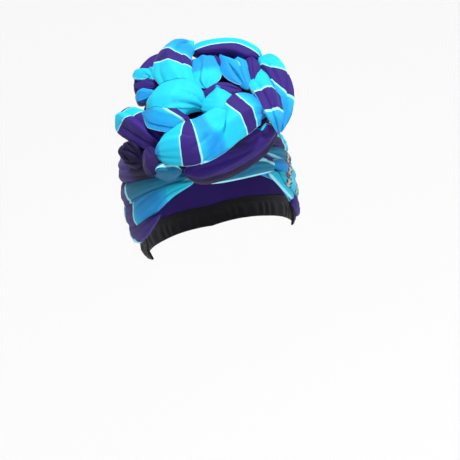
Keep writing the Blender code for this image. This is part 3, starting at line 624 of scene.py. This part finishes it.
def band_relief(band, shares, over, seed):
    """Depth under a band's crowned top: wandering creases and fine tension lines along the length."""
    rng = np.random.default_rng(seed)
    u = shares[:, None]
    s = over[None, :]
    relief = np.zeros((len(shares), len(over)))
    for place, depth, width in band.creases:
        swing, phase, pace = rng.uniform(0.05, 0.16), rng.uniform(0, 1), rng.uniform(2, 4)
        off = s - place - swing * np.sin(2 * np.pi * (pace * u + phase))
        relief += depth * MM * np.exp(-np.abs(off) / width)
    for count, size in ((1.5, 0.5), (4, 0.25)):
        phase, drift = rng.uniform(0, 1), rng.uniform(-3, 3)
        wave = np.abs(np.sin(np.pi * (count * s / 2 + drift * u + phase)))
        relief += MM * size * (1 - wave) * (0.5 + 0.5 * np.sin(2 * np.pi * (5 * u + phase)))
    return relief


def uv_layer(mesh, name, grid):
    """A UV map from a grid with one column more than the loft has sides, in the order of its triangles."""
    here, there = grid[:, :-1], grid[:, 1:]
    low_left, low_right, up_right, up_left = here[:-1], there[:-1], there[1:], here[1:]
    flat = np.concatenate([
        np.stack([low_left, low_right, up_right], axis=2).reshape(-1, 2),
        np.stack([low_left, up_right, up_left], axis=2).reshape(-1, 2),
        np.stack([(here[0] + there[0]) / 2, there[0], here[0]], axis=1).reshape(-1, 2),
        np.stack([(here[-1] + there[-1]) / 2, here[-1], there[-1]], axis=1).reshape(-1, 2),
    ])
    mesh.uv_layers.new(name=name).data.foreach_set("uv", flat.astype(np.float32).ravel())


def edge_highlight_distance(hem, side, edge):
    """Metres to the nearest painted highlight along a long edge: edge is the way to the nearest long edge,
    side its sign across.
    """
    return np.ones_like(edge) if hem is None else np.where(side * hem >= 0, edge, 1.0)


def loft_mesh(name, points, along, around, pole=0, place=None):
    """A closed mesh from a grid that is closed round its second side.

    The rings are counted from the one at pole, which is drawn to a middle point as the ring before it is.
    A pole of 0 gives a roll with closed ends, and a pole half way gives a cap with an inner and outer face.
    place is the print's own coordinate where it doesn't follow the grid.
    """
    count, sides = points.shape[:2]
    order = (np.arange(count) + pole) % count
    points, along, around = points[order], along[order], around[order]
    ring = np.arange(sides)
    after = (ring + 1) % sides
    base = (np.arange(count - 1) * sides)[:, None]
    quads = np.stack([base + ring, base + after, base + sides + after, base + sides + ring], axis=-1)
    first, last = count * sides, count * sides + 1
    fan_one = np.stack([np.full(sides, first), after, ring], axis=-1)
    top = (count - 1) * sides
    fan_two = np.stack([np.full(sides, last), top + ring, top + after], axis=-1)
    triangles = np.concatenate([quads[..., [0, 1, 2]].reshape(-1, 3), quads[..., [0, 2, 3]].reshape(-1, 3)])
    faces = np.concatenate([triangles, fan_one, fan_two])
    places = np.concatenate([points.reshape(-1, 3), points[:1].mean(1), points[-1:].mean(1)])
    mesh = bpy.data.meshes.new(name)
    mesh.vertices.add(len(places))
    mesh.vertices.foreach_set("co", places.astype(np.float32).ravel())
    mesh.loops.add(len(faces) * 3)
    mesh.loops.foreach_set("vertex_index", faces.astype(np.int32).ravel())
    mesh.polygons.add(len(faces))
    mesh.polygons.foreach_set("loop_start", np.arange(0, len(faces) * 3, 3, dtype=np.int32))
    mesh.update(calc_edges=True)
    uv_layer(mesh, "cloth", np.stack([along, around], axis=-1))
    lie = PRINTS.get(name, PLAIN_PRINT)
    if place is None:
        place = lie.start * MM + lie.along * along + lie.round * around
    else:
        place = place[order]
    belt = np.ones_like(along)
    if lie.belt is not None:
        belt = along - lie.belt * MM
        belt = np.where(belt > -BELT_PACE / 2, belt, belt + BELT_PACE)
    uv_layer(mesh, "print", np.stack([place, belt], axis=-1))
    if name in BAND_NAMES:
        side, edge = np.sign(around), np.abs(around).max(1, keepdims=True) - np.abs(around)
    else:
        girth = around[:, -1:] - around[:, :1]
        turn = (around - around[:, :1]) / np.maximum(girth, 1e-9)
        side, edge = np.sign(np.cos(2 * np.pi * turn)), np.abs((turn + 0.25) % 0.5 - 0.25) * girth
    # This map places the painted highlight, a pale line along the piece's long edge
    uv_layer(mesh, "hem", np.stack([edge_highlight_distance(lie.hem, side, edge), belt], axis=-1))
    return mesh


def add_object(name, data, slot=None):
    piece = bpy.data.objects.new(name, data)
    bpy.context.scene.collection.objects.link(piece)
    if slot:
        # Pieces in the rosette's shade take the cloth whose azure is darkened as painted shade
        data.materials.append(cloth_material(slot, name.removesuffix("_cloth") in SHADE_PAINTED_PIECES))
    return piece


def cutter_mesh(name):
    """A fold's or band's own surface, grown by the gap, that trims what lies beside it."""
    for fold in FOLDS:
        if fold.name == name:
            return loft_mesh(name + "_clearance", *fold_surface(fold, *FOLD_GRID, GAP))
    band = next(band for band in BANDS if band.name == name)
    return loft_mesh(name + "_clearance", *band_surface(band, *CUTTER_BAND_GRID, GAP, relief=False))


def hollow_mesh():
    """The crown with its hollow filled, grown by the gap: rings of the crown's ellipsoid."""
    rings, sides = 40, 96
    climb = np.radians(np.linspace(-40, 88, rings))
    up = crown_axes(climb > 0, GAP)[2]
    points = crown_point(full_turn(sides)[None, :], (WIDEST_HEIGHT + up * np.sin(climb))[:, None], GAP)
    zero = np.zeros((rings, sides + 1))
    return loft_mesh("hollow_clearance", points, zero, zero)


ORDER = [fold.name for fold in FOLDS] + [band.name for band in BANDS]
CUTTERS = {}


def cutter(name):
    if name not in CUTTERS:
        mesh = hollow_mesh() if name == "hollow" else cutter_mesh(name)
        CUTTERS[name] = add_object(mesh.name, mesh)
        CUTTERS[name].hide_render = True
    return CUTTERS[name]


def box_of(thing):
    corners = np.array([thing.matrix_world @ Vector(corner) for corner in thing.bound_box])
    return corners.min(0), corners.max(0)


def trim(piece, names):
    """Cut the named envelopes out of a piece where they reach it, and keep the largest body."""
    bpy.context.view_layer.update()
    low, high = box_of(piece)
    for name in names:
        tool = cutter(name)
        tool_low, tool_high = box_of(tool)
        if np.all(tool_low < high) and np.all(low < tool_high):
            boolean = piece.modifiers.new(name, "BOOLEAN")
            boolean.operation = "DIFFERENCE"
            boolean.solver = "MANIFOLD"
            boolean.object = tool
    shaped = piece.evaluated_get(bpy.context.evaluated_depsgraph_get())
    mesh = bpy.data.meshes.new_from_object(shaped)
    piece.modifiers.clear()
    piece.data = mesh
    keep_largest_body(mesh)


def keep_largest_body(mesh):
    """Labels spread along the edges until each body has one, and only the body with most corners stays."""
    ends = np.empty(len(mesh.edges) * 2, np.int32)
    mesh.edges.foreach_get("vertices", ends)
    ends = ends.reshape(-1, 2)
    label = np.arange(len(mesh.vertices))
    while True:
        low = np.minimum(label[ends[:, 0]], label[ends[:, 1]])
        new = label.copy()
        np.minimum.at(new, ends[:, 0], low)
        np.minimum.at(new, ends[:, 1], low)
        new = new[new]
        if np.array_equal(new, label):
            break
        label = new
    names, counts = np.unique(label, return_counts=True)
    if len(names) > 1:
        work = bmesh.new()
        work.from_mesh(mesh)
        work.verts.ensure_lookup_table()
        keep = names[np.argmax(counts)]
        bmesh.ops.delete(work, geom=[work.verts[i] for i in np.flatnonzero(label != keep)], context="VERTS")
        work.to_mesh(mesh)
        work.free()


def finish_piece(piece, node):
    """Smooth faces with sharp cut edges, the piece hung on its body, and the solid that it stands for hidden.
    """
    piece.data.shade_smooth()
    piece.data.set_sharp_from_angle(angle=math.radians(50))
    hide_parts(node)
    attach(piece, "root")
    return piece


def add_folds(names):
    for index, fold in enumerate(FOLDS):
        if fold.name not in names:
            continue
        mesh = loft_mesh(fold.name, *fold_surface(fold, *FOLD_GRID))
        piece = add_object(fold.name + "_cloth", mesh, fold.slot)
        trim(piece, [*ORDER[:index], "hollow"])
        finish_piece(piece, fold.name)


def add_bands():
    for index, band in enumerate(BANDS):
        stations = LONG_BAND_STATIONS if len(band.route) > 8 else SHORT_BAND_STATIONS
        mesh = loft_mesh(band.name, *band_surface(band, stations, BAND_TOPS, BAND_FEET, seed=40 + index))
        piece = add_object(band.name + "_cloth", mesh, band.slot)
        trim(piece, ORDER[: len(FOLDS) + index])
        finish_piece(piece, band.name)


def add_coil_base():
    """Rope turns round the rosette's middle: the turned profile, ridged by a slanted sine of the turn."""
    centre, right, back, outward = rosette_axes()
    rows, sides = 90, 240
    profile = np.c_[np.array(COIL_PROFILE), np.zeros(len(COIL_PROFILE))]
    profile = smooth_samples(profile, np.linspace(0, 1, rows))
    turn = full_turn(sides)
    height = profile[:, 0] * ROSETTE_LIFT
    radius = profile[:, 1] * ROSETTE_RADIUS
    ridge = 0.5 + 0.5 * np.cos(COIL_RIDGES * turn[None, :] + COIL_SLANT * height[:, None])
    sink = COIL_GROOVE * (1 - np.sqrt(ridge)) * np.clip(radius / 0.03, 0, 1)[:, None]
    out = radius[:, None] - sink
    points = (
        centre + height[:, None, None] * outward
        + (out * np.cos(turn))[..., None] * right + (out * np.sin(turn))[..., None] * back
    )
    grids = cloth_grid(run_along(np.c_[height, radius]), full_turn(sides, closed=True) * COIL_CLOTH_RADIUS)
    mesh = loft_mesh("coil_base", points, *grids)
    piece = add_object("coil_base_cloth", mesh, PURPLE)
    trim(piece, ["hollow", *ORDER])
    finish_piece(piece, "coil_base")


def rim_height(round_rad):
    """Height of the crown's lower edge at an angle round from the brow."""
    degrees = (np.degrees(round_rad) + 180) % 360 - 180
    return np.interp(degrees, *np.array(RIM).T) * CROWN_HEIGHT


def crown_gathers(points):
    """How far the cloth dips between gathers that spread from the rosette: cosines of the angle round it."""
    centre, right, back, outward = rosette_axes()
    away = points - centre
    angle = np.arctan2(away @ right, away @ back)
    reach = np.linalg.norm(away, axis=-1)
    wave = 0.6 * np.cos(34 * angle + 40 * reach) + 0.4 * np.cos(21 * angle - 25 * reach + 1.0)
    return GATHER_DEPTH * (0.5 - 0.5 * wave) * np.clip(1.4 - reach / 0.16, 0.25, 1)


def add_crown():
    """The cap under the bands: rows from the lower edge to the top of the crown's ellipsoid.

    The print's bands are arcs at even distances from the rosette, and the lining is plain.
    """
    rows, sides = 70, 300
    turn = full_turn(sides)
    rim = rim_height(turn)
    low = np.arcsin((rim - WIDEST_HEIGHT) / crown_axes(rim > WIDEST_HEIGHT)[2])
    share = np.linspace(0, 1, rows)
    climb = low + (math.radians(89.6) - low) * share[:, None]
    up = crown_axes(climb > 0)[2]
    face = crown_point(np.broadcast_to(turn, climb.shape), WIDEST_HEIGHT + up * np.sin(climb))
    outer = press_on_crown(face, -crown_gathers(face))
    inner = press_on_crown(face, np.full(face.shape[:2], -CLOTH_WALL))
    grids = cloth_grid(share * CROWN_CLOTH_RISE, full_turn(sides, closed=True) * CROWN_CLOTH_RADIUS)
    both = [np.concatenate([grid, grid[::-1]]) for grid in grids]
    reach = np.linalg.norm(face - rosette_axes()[0], axis=-1)
    reach = np.concatenate([reach, reach[:, :1]], axis=1)
    place = np.concatenate([reach, np.zeros_like(reach)])
    mesh = loft_mesh("crown_wrap", np.concatenate([outer, inner[::-1]]), *both, pole=len(outer), place=place)
    piece = add_object("crown_wrap_cloth", mesh, AZURE)
    finish_piece(piece, "crown_wrap")


def add_nape_band():
    """The gathered elastic: a strip from temple to temple, its face puckered by cosines of the turn."""
    stations, rows = 420, 22
    turn = np.linspace(math.radians(NAPE_BAND_FROM_DEG), math.radians(360 - NAPE_BAND_FROM_DEG), stations)
    low = np.interp(np.degrees(turn), *np.array(NAPE_EDGE).T) * CROWN_HEIGHT
    high = rim_height(turn) - GAP
    share = np.linspace(0, 1, rows)
    place = low[:, None] + (high - low)[:, None] * share
    face = crown_point(np.broadcast_to(turn[:, None], place.shape), place)
    seams = 0.5 + 0.5 * np.cos(2 * np.pi * 5 * share)
    pucker = 0.5 - 0.5 * np.cos(np.arange(stations) * 0.95)
    dip = PUCKER_DEPTH * pucker[:, None] * (0.35 + 0.65 * seams) + SEWN_ROW_DEPTH * (1 - seams)
    free = np.sin(math.pi * np.clip(share / 0.75, 0, 1))
    step = np.arange(stations)[:, None]
    ruffle = 0.5 + 0.5 * np.sin(step * 0.42 + 1.5 * np.sin(step * 0.11))
    swell = free * (EDGE_SWELL + RUFFLE_SWELL * ruffle)
    outer = press_on_crown(face, swell - NAPE_BAND_RECESS - dip)
    inner = press_on_crown(face, 0.6 * swell - NAPE_BAND_RECESS - CLOTH_WALL)
    points = np.concatenate([outer[:, ::-1], inner], axis=1)
    girth = np.linspace(0, ELASTIC_GIRTH, points.shape[1] + 1)
    mesh = loft_mesh("nape_band", points, *cloth_grid(run_along(face[:, rows // 2 - 1]), girth))
    piece = add_object("nape_band_elastic", mesh, ELASTIC)
    finish_piece(piece, "nape_band")


def feed(tree, node, inputs):
    """Links each named or numbered input of a node to a socket, or sets it to a value."""
    for key, value in inputs.items():
        if isinstance(value, bpy.types.NodeSocket):
            tree.links.new(value, node.inputs[key])
        else:
            node.inputs[key].default_value = value
    return node


def add_node(tree, kind, inputs=None, **settings):
    """A node with its settings and its inputs."""
    node = tree.nodes.new(kind)
    for name, value in settings.items():
        setattr(node, name, value)
    return feed(tree, node, inputs or {})


def sums(tree, operation, *values):
    """The output of a Math node."""
    return add_node(tree, "ShaderNodeMath", dict(enumerate(values)), operation=operation).outputs[0]


def smooth_between(tree, value, low, high):
    """0 below low, 1 above high, and a smooth step between; high may be the lower one."""
    limits = {"Value": value, "From Min": low, "From Max": high}
    return add_node(tree, "ShaderNodeMapRange", limits, interpolation_type="SMOOTHSTEP").outputs[0]


def blend(tree, share, first, second, **settings):
    """The colour between two colours at a share."""
    inputs = {0: share, 6: first, 7: second}
    return add_node(tree, "ShaderNodeMix", inputs, data_type="RGBA", **settings).outputs[2]


def noise(tree, cloth, scale, detail):
    """A noise from 0 to 1 that lies on the cloth."""
    inputs = {"Vector": cloth, "Scale": scale, "Detail": detail}
    return add_node(tree, "ShaderNodeTexNoise", inputs).outputs["Fac"]


def wander(tree, value, cloudy, reach):
    """A value moved by a noise, up or down by half the reach at most."""
    return sums(tree, "MULTIPLY_ADD", sums(tree, "SUBTRACT", cloudy, 0.5), reach, value)


def split(tree, vector):
    """A vector's three numbers."""
    return add_node(tree, "ShaderNodeSeparateXYZ", {0: vector}).outputs


def new_group(name, inputs, outputs):
    """An empty shader node group with its sockets, named by kind, and its input and output nodes."""
    group = bpy.data.node_groups.new(name, "ShaderNodeTree")
    for in_out, sockets in (("INPUT", inputs), ("OUTPUT", outputs)):
        for kind, labels in sockets.items():
            for label in labels:
                group.interface.new_socket(label, in_out=in_out, socket_type="NodeSocket" + kind)
    return group, group.nodes.new("NodeGroupInput").outputs, group.nodes.new("NodeGroupOutput")


def weave_group():
    """Plain weave: threads over and under as the product of two sines, with slubs that wander.

    Puts out the weave's height, a roughness that follows the threads and a tone from slubs and wear.
    """
    if "plain_weave" in bpy.data.node_groups:
        return bpy.data.node_groups["plain_weave"]
    group, given, out = new_group(
        "plain_weave", {"Vector": ("Cloth",), "Float": ("Thread", "Roughness")},
        {"Float": ("Height", "Roughness", "Tone")},
    )
    calc = partial(sums, group)
    cloth = given["Cloth"]
    parts = split(group, cloth)
    pace = calc("DIVIDE", math.pi, given["Thread"])
    warp = calc("SINE", calc("MULTIPLY", parts[0], pace))
    weft = calc("SINE", calc("MULTIPLY", parts[1], pace))
    over = calc("MULTIPLY", warp, weft)
    height = calc("MULTIPLY_ADD", over, 0.5, calc("ADD", calc("ABSOLUTE", warp), calc("ABSOLUTE", weft)))
    slub = noise(group, cloth, 900.0, 2.0)
    soft = noise(group, cloth, 55.0, 3.0)
    rough = wander(group, given["Roughness"], slub, 0.22)
    feed(group, out, {
        "Height": calc("MULTIPLY_ADD", slub, 0.8, height),
        "Roughness": calc("MULTIPLY_ADD", over, 0.03, rough),
        "Tone": wander(group, calc("MULTIPLY_ADD", soft, 0.26, 0.87), slub, 0.10),
    })
    return group


def print_group():
    """The print: cross bands at an even pace, each side edged by a fine pale line, on a ground with a deep
    part, which on the purple ground is near-black painted shade.

    The distance to the nearest band's middle is |wrap(place, pace)|. A belt of patches in two colours,
    with slanted dashes down both its sides, crosses the piece where the print map's second coordinate is 0.
    A pale hem lies where the hem map's first coordinate is less than the hem's width.
    """
    if "band_print" in bpy.data.node_groups:
        return bpy.data.node_groups["band_print"]
    colours = ("Ground", "Ground Shade", "Band", "Line", "Patch One", "Patch Two", "Dash")
    group, given, out = new_group(
        "band_print",
        {"Vector": ("Cloth", "Print", "Hem"), "Float": ("Edge Highlight Width", "Pace", "Width"), "Color": colours},
        {"Color": ("Colour",)},
    )
    ground, shade, band, line, patch_one, patch_two, dash_ink = (given[name] for name in colours)
    calc, step, mix = (partial(make, group) for make in (sums, smooth_between, blend))
    fine, broad = noise(group, given["Cloth"], 45.0, 1.0), noise(group, given["Cloth"], 26.0, 2.0)
    lie = split(group, given["Print"])
    half_pace = calc("MULTIPLY", given["Pace"], 0.5)
    place = wander(group, lie[0], fine, PRINT_WANDER)
    signed = calc("WRAP", place, half_pace, calc("MULTIPLY", half_pace, -1.0))
    edge = calc("SUBTRACT", calc("ABSOLUTE", signed), calc("MULTIPLY", given["Width"], 0.5))
    inside = step(edge, *BAND_FADE)
    pale = step(calc("ABSOLUTE", calc("SUBTRACT", edge, LINE_OFF_BAND)), *LINE_FADE)
    drift = wander(group, signed, broad, DEEP_WANDER)
    # The deep part: a deeper print tone on the azure ground, near-black painted shade on the purple ground
    deep = calc("MULTIPLY", step(drift, *DEEP_RISE), step(drift, *DEEP_FALL))
    off_belt = calc("ABSOLUTE", lie[1])
    down_belt = split(group, given["Cloth"])[1]
    patch = step(wander(group, off_belt, fine, PATCH_WANDER), *PATCH_FADE)
    which = step(calc("SINE", calc("DIVIDE", down_belt, PATCH_PACE)), -0.2, 0.2)
    slanted = calc("DIVIDE", calc("MULTIPLY_ADD", off_belt, DASH_SLANT, down_belt), DASH_PACE)
    dash = step(calc("ABSOLUTE", calc("SUBTRACT", calc("FRACT", slanted), 0.5)), *DASH_FADE)
    beside = step(calc("ABSOLUTE", calc("SUBTRACT", off_belt, DASHES_OFF_BELT)), *DASHES_FADE)
    # Painted highlight: a pale line along the piece's long edge
    hem = step(calc("DIVIDE", split(group, given["Hem"])[0], given["Edge Highlight Width"]), *EDGE_HIGHLIGHT_FADE)
    colour = mix(calc("MULTIPLY", deep, DEEP_SHARE), ground, shade)
    colour = mix(patch, colour, mix(which, patch_one, patch_two))
    colour = mix(calc("MULTIPLY", dash, beside), colour, dash_ink)
    colour = mix(inside, colour, band)
    # The pale colour paints both the print's fine lines and the highlight along the edge
    feed(group, out, {"Colour": mix(calc("MAXIMUM", pale, hem), colour, line)})
    return group


def new_material(name):
    """A material with its node tree and its shader."""
    material = bpy.data.materials.new(name)
    material.use_nodes = True
    return material, material.node_tree, material.node_tree.nodes["Principled BSDF"]


def cloth_material(slot, dull=False):
    """Printed cotton in one of its two grounds, its azure as it is or darkened as painted shade, or the black
    gathered elastic.
    """
    name = slot + ("_painted_shade" if dull else "_finish")
    if name in bpy.data.materials:
        return bpy.data.materials[name]
    material, tree, shader = new_material(name)
    inks = colour_settings()
    ink = {key: (*getattr(inks, key), 1.0) for key in HeadwrapColours.__annotations__}
    cloth, lie, hem = (
        add_node(tree, "ShaderNodeUVMap", uv_map=name).outputs[0] for name in ("cloth", "print", "hem")
    )
    black = slot == ELASTIC
    weave = add_node(tree, "ShaderNodeGroup", {
        "Cloth": cloth, "Thread": 0.0006 if black else size_settings().thread_pitch,
        "Roughness": 0.82 if black else 0.62,
    }, node_tree=weave_group()).outputs
    if black:
        ribs = add_node(tree, "ShaderNodeTexWave", {"Vector": cloth, "Scale": 260.0, "Distortion": 2.0})
        colour = blend(tree, ribs.outputs["Fac"], darker(ink["elastic"], 0.5), ink["elastic"])
    else:
        # Painted shade: pieces under the rosette take darker copies of the azure and the deep blue
        azure, deep = (ink["teal"], ink["deep_teal"]) if dull else (ink["azure"], ink["deep_blue"])
        grounds = {
            AZURE: {"Pace": PRINT_PACE, "Ground": azure, "Ground Shade": deep, "Band": ink["purple"]},
            # The purple ground's deep part is near black: painted shade
            PURPLE: {"Pace": 2 * PRINT_PACE, "Ground": ink["purple"],
                     "Ground Shade": darker(ink["purple"], 0.08), "Band": azure},
        }
        colour = add_node(tree, "ShaderNodeGroup", {
            "Cloth": cloth, "Print": lie, "Hem": hem, "Edge Highlight Width": EDGE_HIGHLIGHT_WIDTH, "Width": PRINT_BAND_WIDTH,
            **grounds[slot], "Line": ink["pale_line"], "Patch One": ink["patch_red"],
            "Patch Two": ink["patch_tan"], "Dash": ink["dash"],
        }, node_tree=print_group()).outputs["Colour"]
    bump = {"Height": weave["Height"], "Strength": 0.35, "Distance": 0.0003}
    feed(tree, shader, {
        "Base Color": blend(tree, 1.0, colour, weave["Tone"], blend_type="MULTIPLY"),
        "Roughness": weave["Roughness"], "Normal": add_node(tree, "ShaderNodeBump", bump).outputs[0],
        "Sheen Weight": 0.25 if black else 0.05, "Sheen Roughness": 0.45, "Specular IOR Level": 0.22,
    })
    return material


def darker(colour, share):
    """The colour at a share of its brightness."""
    return tuple(part * share for part in colour[:3]) + (1.0,)


def plain_material(name, colour, roughness):
    material, tree, shader = new_material(name)
    feed(tree, shader, {"Base Color": colour, "Roughness": roughness})
    return material


def add_camera():
    """The camera stands where the photograph was taken from, a little above and to the wearer's right."""
    climb, round_rad, roll = (math.radians(angle) for angle in (CAMERA_CLIMB, CAMERA_ROUND, CAMERA_ROLL))
    level = math.cos(climb)
    back = Vector((math.sin(round_rad) * level, -math.cos(round_rad) * level, math.sin(climb)))
    right = Vector((0, 0, 1)).cross(back).normalized()
    turned = Matrix((right, back.cross(right), back)).transposed() @ Matrix.Rotation(-roll, 3, "Z")
    lens = bpy.data.cameras.new("camera")
    lens.lens, lens.sensor_width = CAMERA_LENS, 36.0
    camera = add_object("camera", lens)
    place = Vector(CAMERA_TARGET) + back * CAMERA_DISTANCE
    camera.matrix_world = Matrix.Translation(place) @ turned.to_4x4()
    bpy.context.scene.camera = camera


def add_world():
    """A studio whose walls glow near the horizon and are dim overhead: brightness by height."""
    world = bpy.data.worlds.new("studio")
    world.use_nodes = True
    tree = world.node_tree
    height = split(tree, add_node(tree, "ShaderNodeTexCoord").outputs["Generated"])[2]
    glow = smooth_between(tree, height, 0.32, 0.20)
    strength = sums(tree, "MULTIPLY_ADD", glow, WALL_GLOW - DIM_GLOW, DIM_GLOW)
    feed(tree, tree.nodes["Background"], {"Strength": strength, "Color": (1.0, 1.0, 1.0, 1.0)})
    bpy.context.scene.world = world


def add_stage():
    """A wide pale floor under soft studio light from above, with a weak fill from the wearer's left."""
    square = ((-1, -1), (1, -1), (1, 1), (-1, 1))
    corners = [(x * FLOOR_REACH, y * FLOOR_REACH, -FLOOR_DROP) for x, y in square]
    mesh = bpy.data.meshes.new("floor")
    mesh.from_pydata(corners, [], [(0, 1, 2, 3)])
    mesh.materials.append(plain_material("pale_floor", (0.60, 0.60, 0.60, 1.0), 0.9))
    add_object("floor", mesh)
    add_world()
    sun = bpy.data.lights.new("key", "SUN")
    sun.energy, sun.angle = SUN_STRENGTH, math.radians(SUN_ANGLE)
    add_object("key", sun).rotation_euler = Vector(TOWARDS_SUN).to_track_quat("Z", "Y").to_euler()
    lamp = bpy.data.lights.new("fill", "AREA")
    lamp.shape, lamp.size, lamp.energy = "DISK", 1.0, FILL_POWER
    fill = add_object("fill", lamp)
    fill.location = FILL_PLACE
    fill.rotation_euler = (Vector(FILL_TARGET) - fill.location).to_track_quat("-Z", "Y").to_euler()
    bpy.context.scene.view_settings.view_transform = "Standard"
    add_camera()


class HeadwrapSizes(bpy.types.PropertyGroup):
    """Sizes that shape the cloth's finish."""

    wrinkle_depth: bpy.props.FloatProperty(
        name="Wrinkle depth", description="Depth of the fine tension lines in the rosette's folds",
        default=0.0016, min=0.0, max=0.003, subtype="DISTANCE", unit="LENGTH", precision=4,
    )
    thread_pitch: bpy.props.FloatProperty(
        name="Thread pitch", description="Distance between the cotton's threads",
        default=0.0005, min=0.0002, max=0.002, subtype="DISTANCE", unit="LENGTH", precision=5,
    )


def colour_property(label, text, value):
    return bpy.props.FloatVectorProperty(
        name=label, description=text, default=value, size=3, min=0.0, max=1.0, subtype="COLOR",
    )


class HeadwrapColours(bpy.types.PropertyGroup):
    """Colours of the print and the elastic."""

    azure: colour_property("Azure", "Ground of the print", (0.010, 0.55, 0.80))
    deep_blue: colour_property("Deep blue", "Shaded part of the ground", (0.008, 0.26, 0.72))
    # Azure darkened as painted shade, for the pieces under the rosette
    teal: colour_property("Teal", "Ground of the duller cloth round the base", (0.009, 0.20, 0.36))
    # Deep blue darkened as painted shade, for the same pieces
    deep_teal: colour_property("Deep teal", "Deep blue darkened as painted shade round the base", (0.006, 0.10, 0.24))
    purple: colour_property("Purple", "Bands of the print", (0.032, 0.010, 0.180))
    # This pale colour also paints the highlight along each piece's long edge
    pale_line: colour_property("Pale line", "Fine line beside each band", (0.34, 0.80, 0.90))
    patch_red: colour_property("Red patches", "Darker patches of the belt", (0.26, 0.07, 0.08))
    patch_tan: colour_property("Tan patches", "Lighter patches of the belt", (0.60, 0.47, 0.33))
    dash: colour_property("Dashes", "Slanted dashes beside the patches", (0.030, 0.006, 0.020))
    elastic: colour_property("Elastic", "Gathered nape band", (0.012, 0.012, 0.014))


class HEADWRAP_OT_crown(bpy.types.Operator):
    """Shape the gathered cap under the wound bands"""

    bl_idname = "headwrap.crown"
    bl_label = "Crown"

    def execute(self, context):
        add_crown()
        return {"FINISHED"}


class HEADWRAP_OT_nape_band(bpy.types.Operator):
    """Shape the puckered elastic at the nape"""

    bl_idname = "headwrap.nape_band"
    bl_label = "Nape band"

    def execute(self, context):
        add_nape_band()
        return {"FINISHED"}


class HEADWRAP_OT_lobes(bpy.types.Operator):
    """Puff the smooth lobes in the rosette's middle"""

    bl_idname = "headwrap.lobes"
    bl_label = "Rosette lobes"

    def execute(self, context):
        add_folds(LOBES)
        return {"FINISHED"}


class HEADWRAP_OT_pleats(bpy.types.Operator):
    """Fan the narrow pleats behind the lobes"""

    bl_idname = "headwrap.pleats"
    bl_label = "Rosette pleats"

    def execute(self, context):
        add_folds(PLEATS)
        return {"FINISHED"}


class HEADWRAP_OT_rolls(bpy.types.Operator):
    """Wind the outer rolls of the rosette"""

    bl_idname = "headwrap.rolls"
    bl_label = "Rosette rolls"

    def execute(self, context):
        add_folds({fold.name for fold in FOLDS} - set(LOBES) - set(PLEATS))
        return {"FINISHED"}


class HEADWRAP_OT_coil_base(bpy.types.Operator):
    """Twist the coil that the rosette sits on"""

    bl_idname = "headwrap.coil_base"
    bl_label = "Coil base"

    def execute(self, context):
        add_coil_base()
        return {"FINISHED"}


class HEADWRAP_OT_bands(bpy.types.Operator):
    """Wind the bands round the crown and tuck them over the brow"""

    bl_idname = "headwrap.bands"
    bl_label = "Wound bands"

    def execute(self, context):
        add_bands()
        return {"FINISHED"}


class HEADWRAP_OT_stage(bpy.types.Operator):
    """Set the pale floor, the studio light and the camera"""

    bl_idname = "headwrap.stage"
    bl_label = "Stage"

    def execute(self, context):
        add_stage()
        for tool in CUTTERS.values():
            bpy.data.objects.remove(tool)
        CUTTERS.clear()
        return {"FINISHED"}


class HEADWRAP_PT_panel(bpy.types.Panel):
    """Lists the pieces in the order in which they are made"""

    bl_idname = "HEADWRAP_PT_panel"
    bl_label = "Turban Headwrap"
    bl_space_type = "VIEW_3D"
    bl_region_type = "UI"
    bl_category = "Headwrap"

    def draw(self, context):
        layout = self.layout
        for settings in (context.scene.headwrap_sizes, context.scene.headwrap_colours):
            for name in settings.__annotations__:
                layout.prop(settings, name)
        for step in STEPS:
            layout.operator(step.bl_idname)


STEPS = (
    HEADWRAP_OT_crown, HEADWRAP_OT_nape_band, HEADWRAP_OT_lobes, HEADWRAP_OT_pleats, HEADWRAP_OT_rolls,
    HEADWRAP_OT_coil_base, HEADWRAP_OT_bands, HEADWRAP_OT_stage,
)
CLASSES = (HeadwrapSizes, HeadwrapColours, *STEPS, HEADWRAP_PT_panel)


def register():
    for cls in CLASSES:
        bpy.utils.register_class(cls)
    bpy.types.Scene.headwrap_sizes = bpy.props.PointerProperty(type=HeadwrapSizes)
    bpy.types.Scene.headwrap_colours = bpy.props.PointerProperty(type=HeadwrapColours)


def unregister():
    del bpy.types.Scene.headwrap_colours
    del bpy.types.Scene.headwrap_sizes
    for cls in reversed(CLASSES):
        bpy.utils.unregister_class(cls)


def main():
    register()
    bpy.ops.headwrap.crown()
    bpy.ops.headwrap.nape_band()
    bpy.ops.headwrap.lobes()
    bpy.ops.headwrap.pleats()
    bpy.ops.headwrap.rolls()
    bpy.ops.headwrap.coil_base()
    bpy.ops.headwrap.bands()
    bpy.ops.headwrap.stage()


if __name__ == "__main__":
    main()
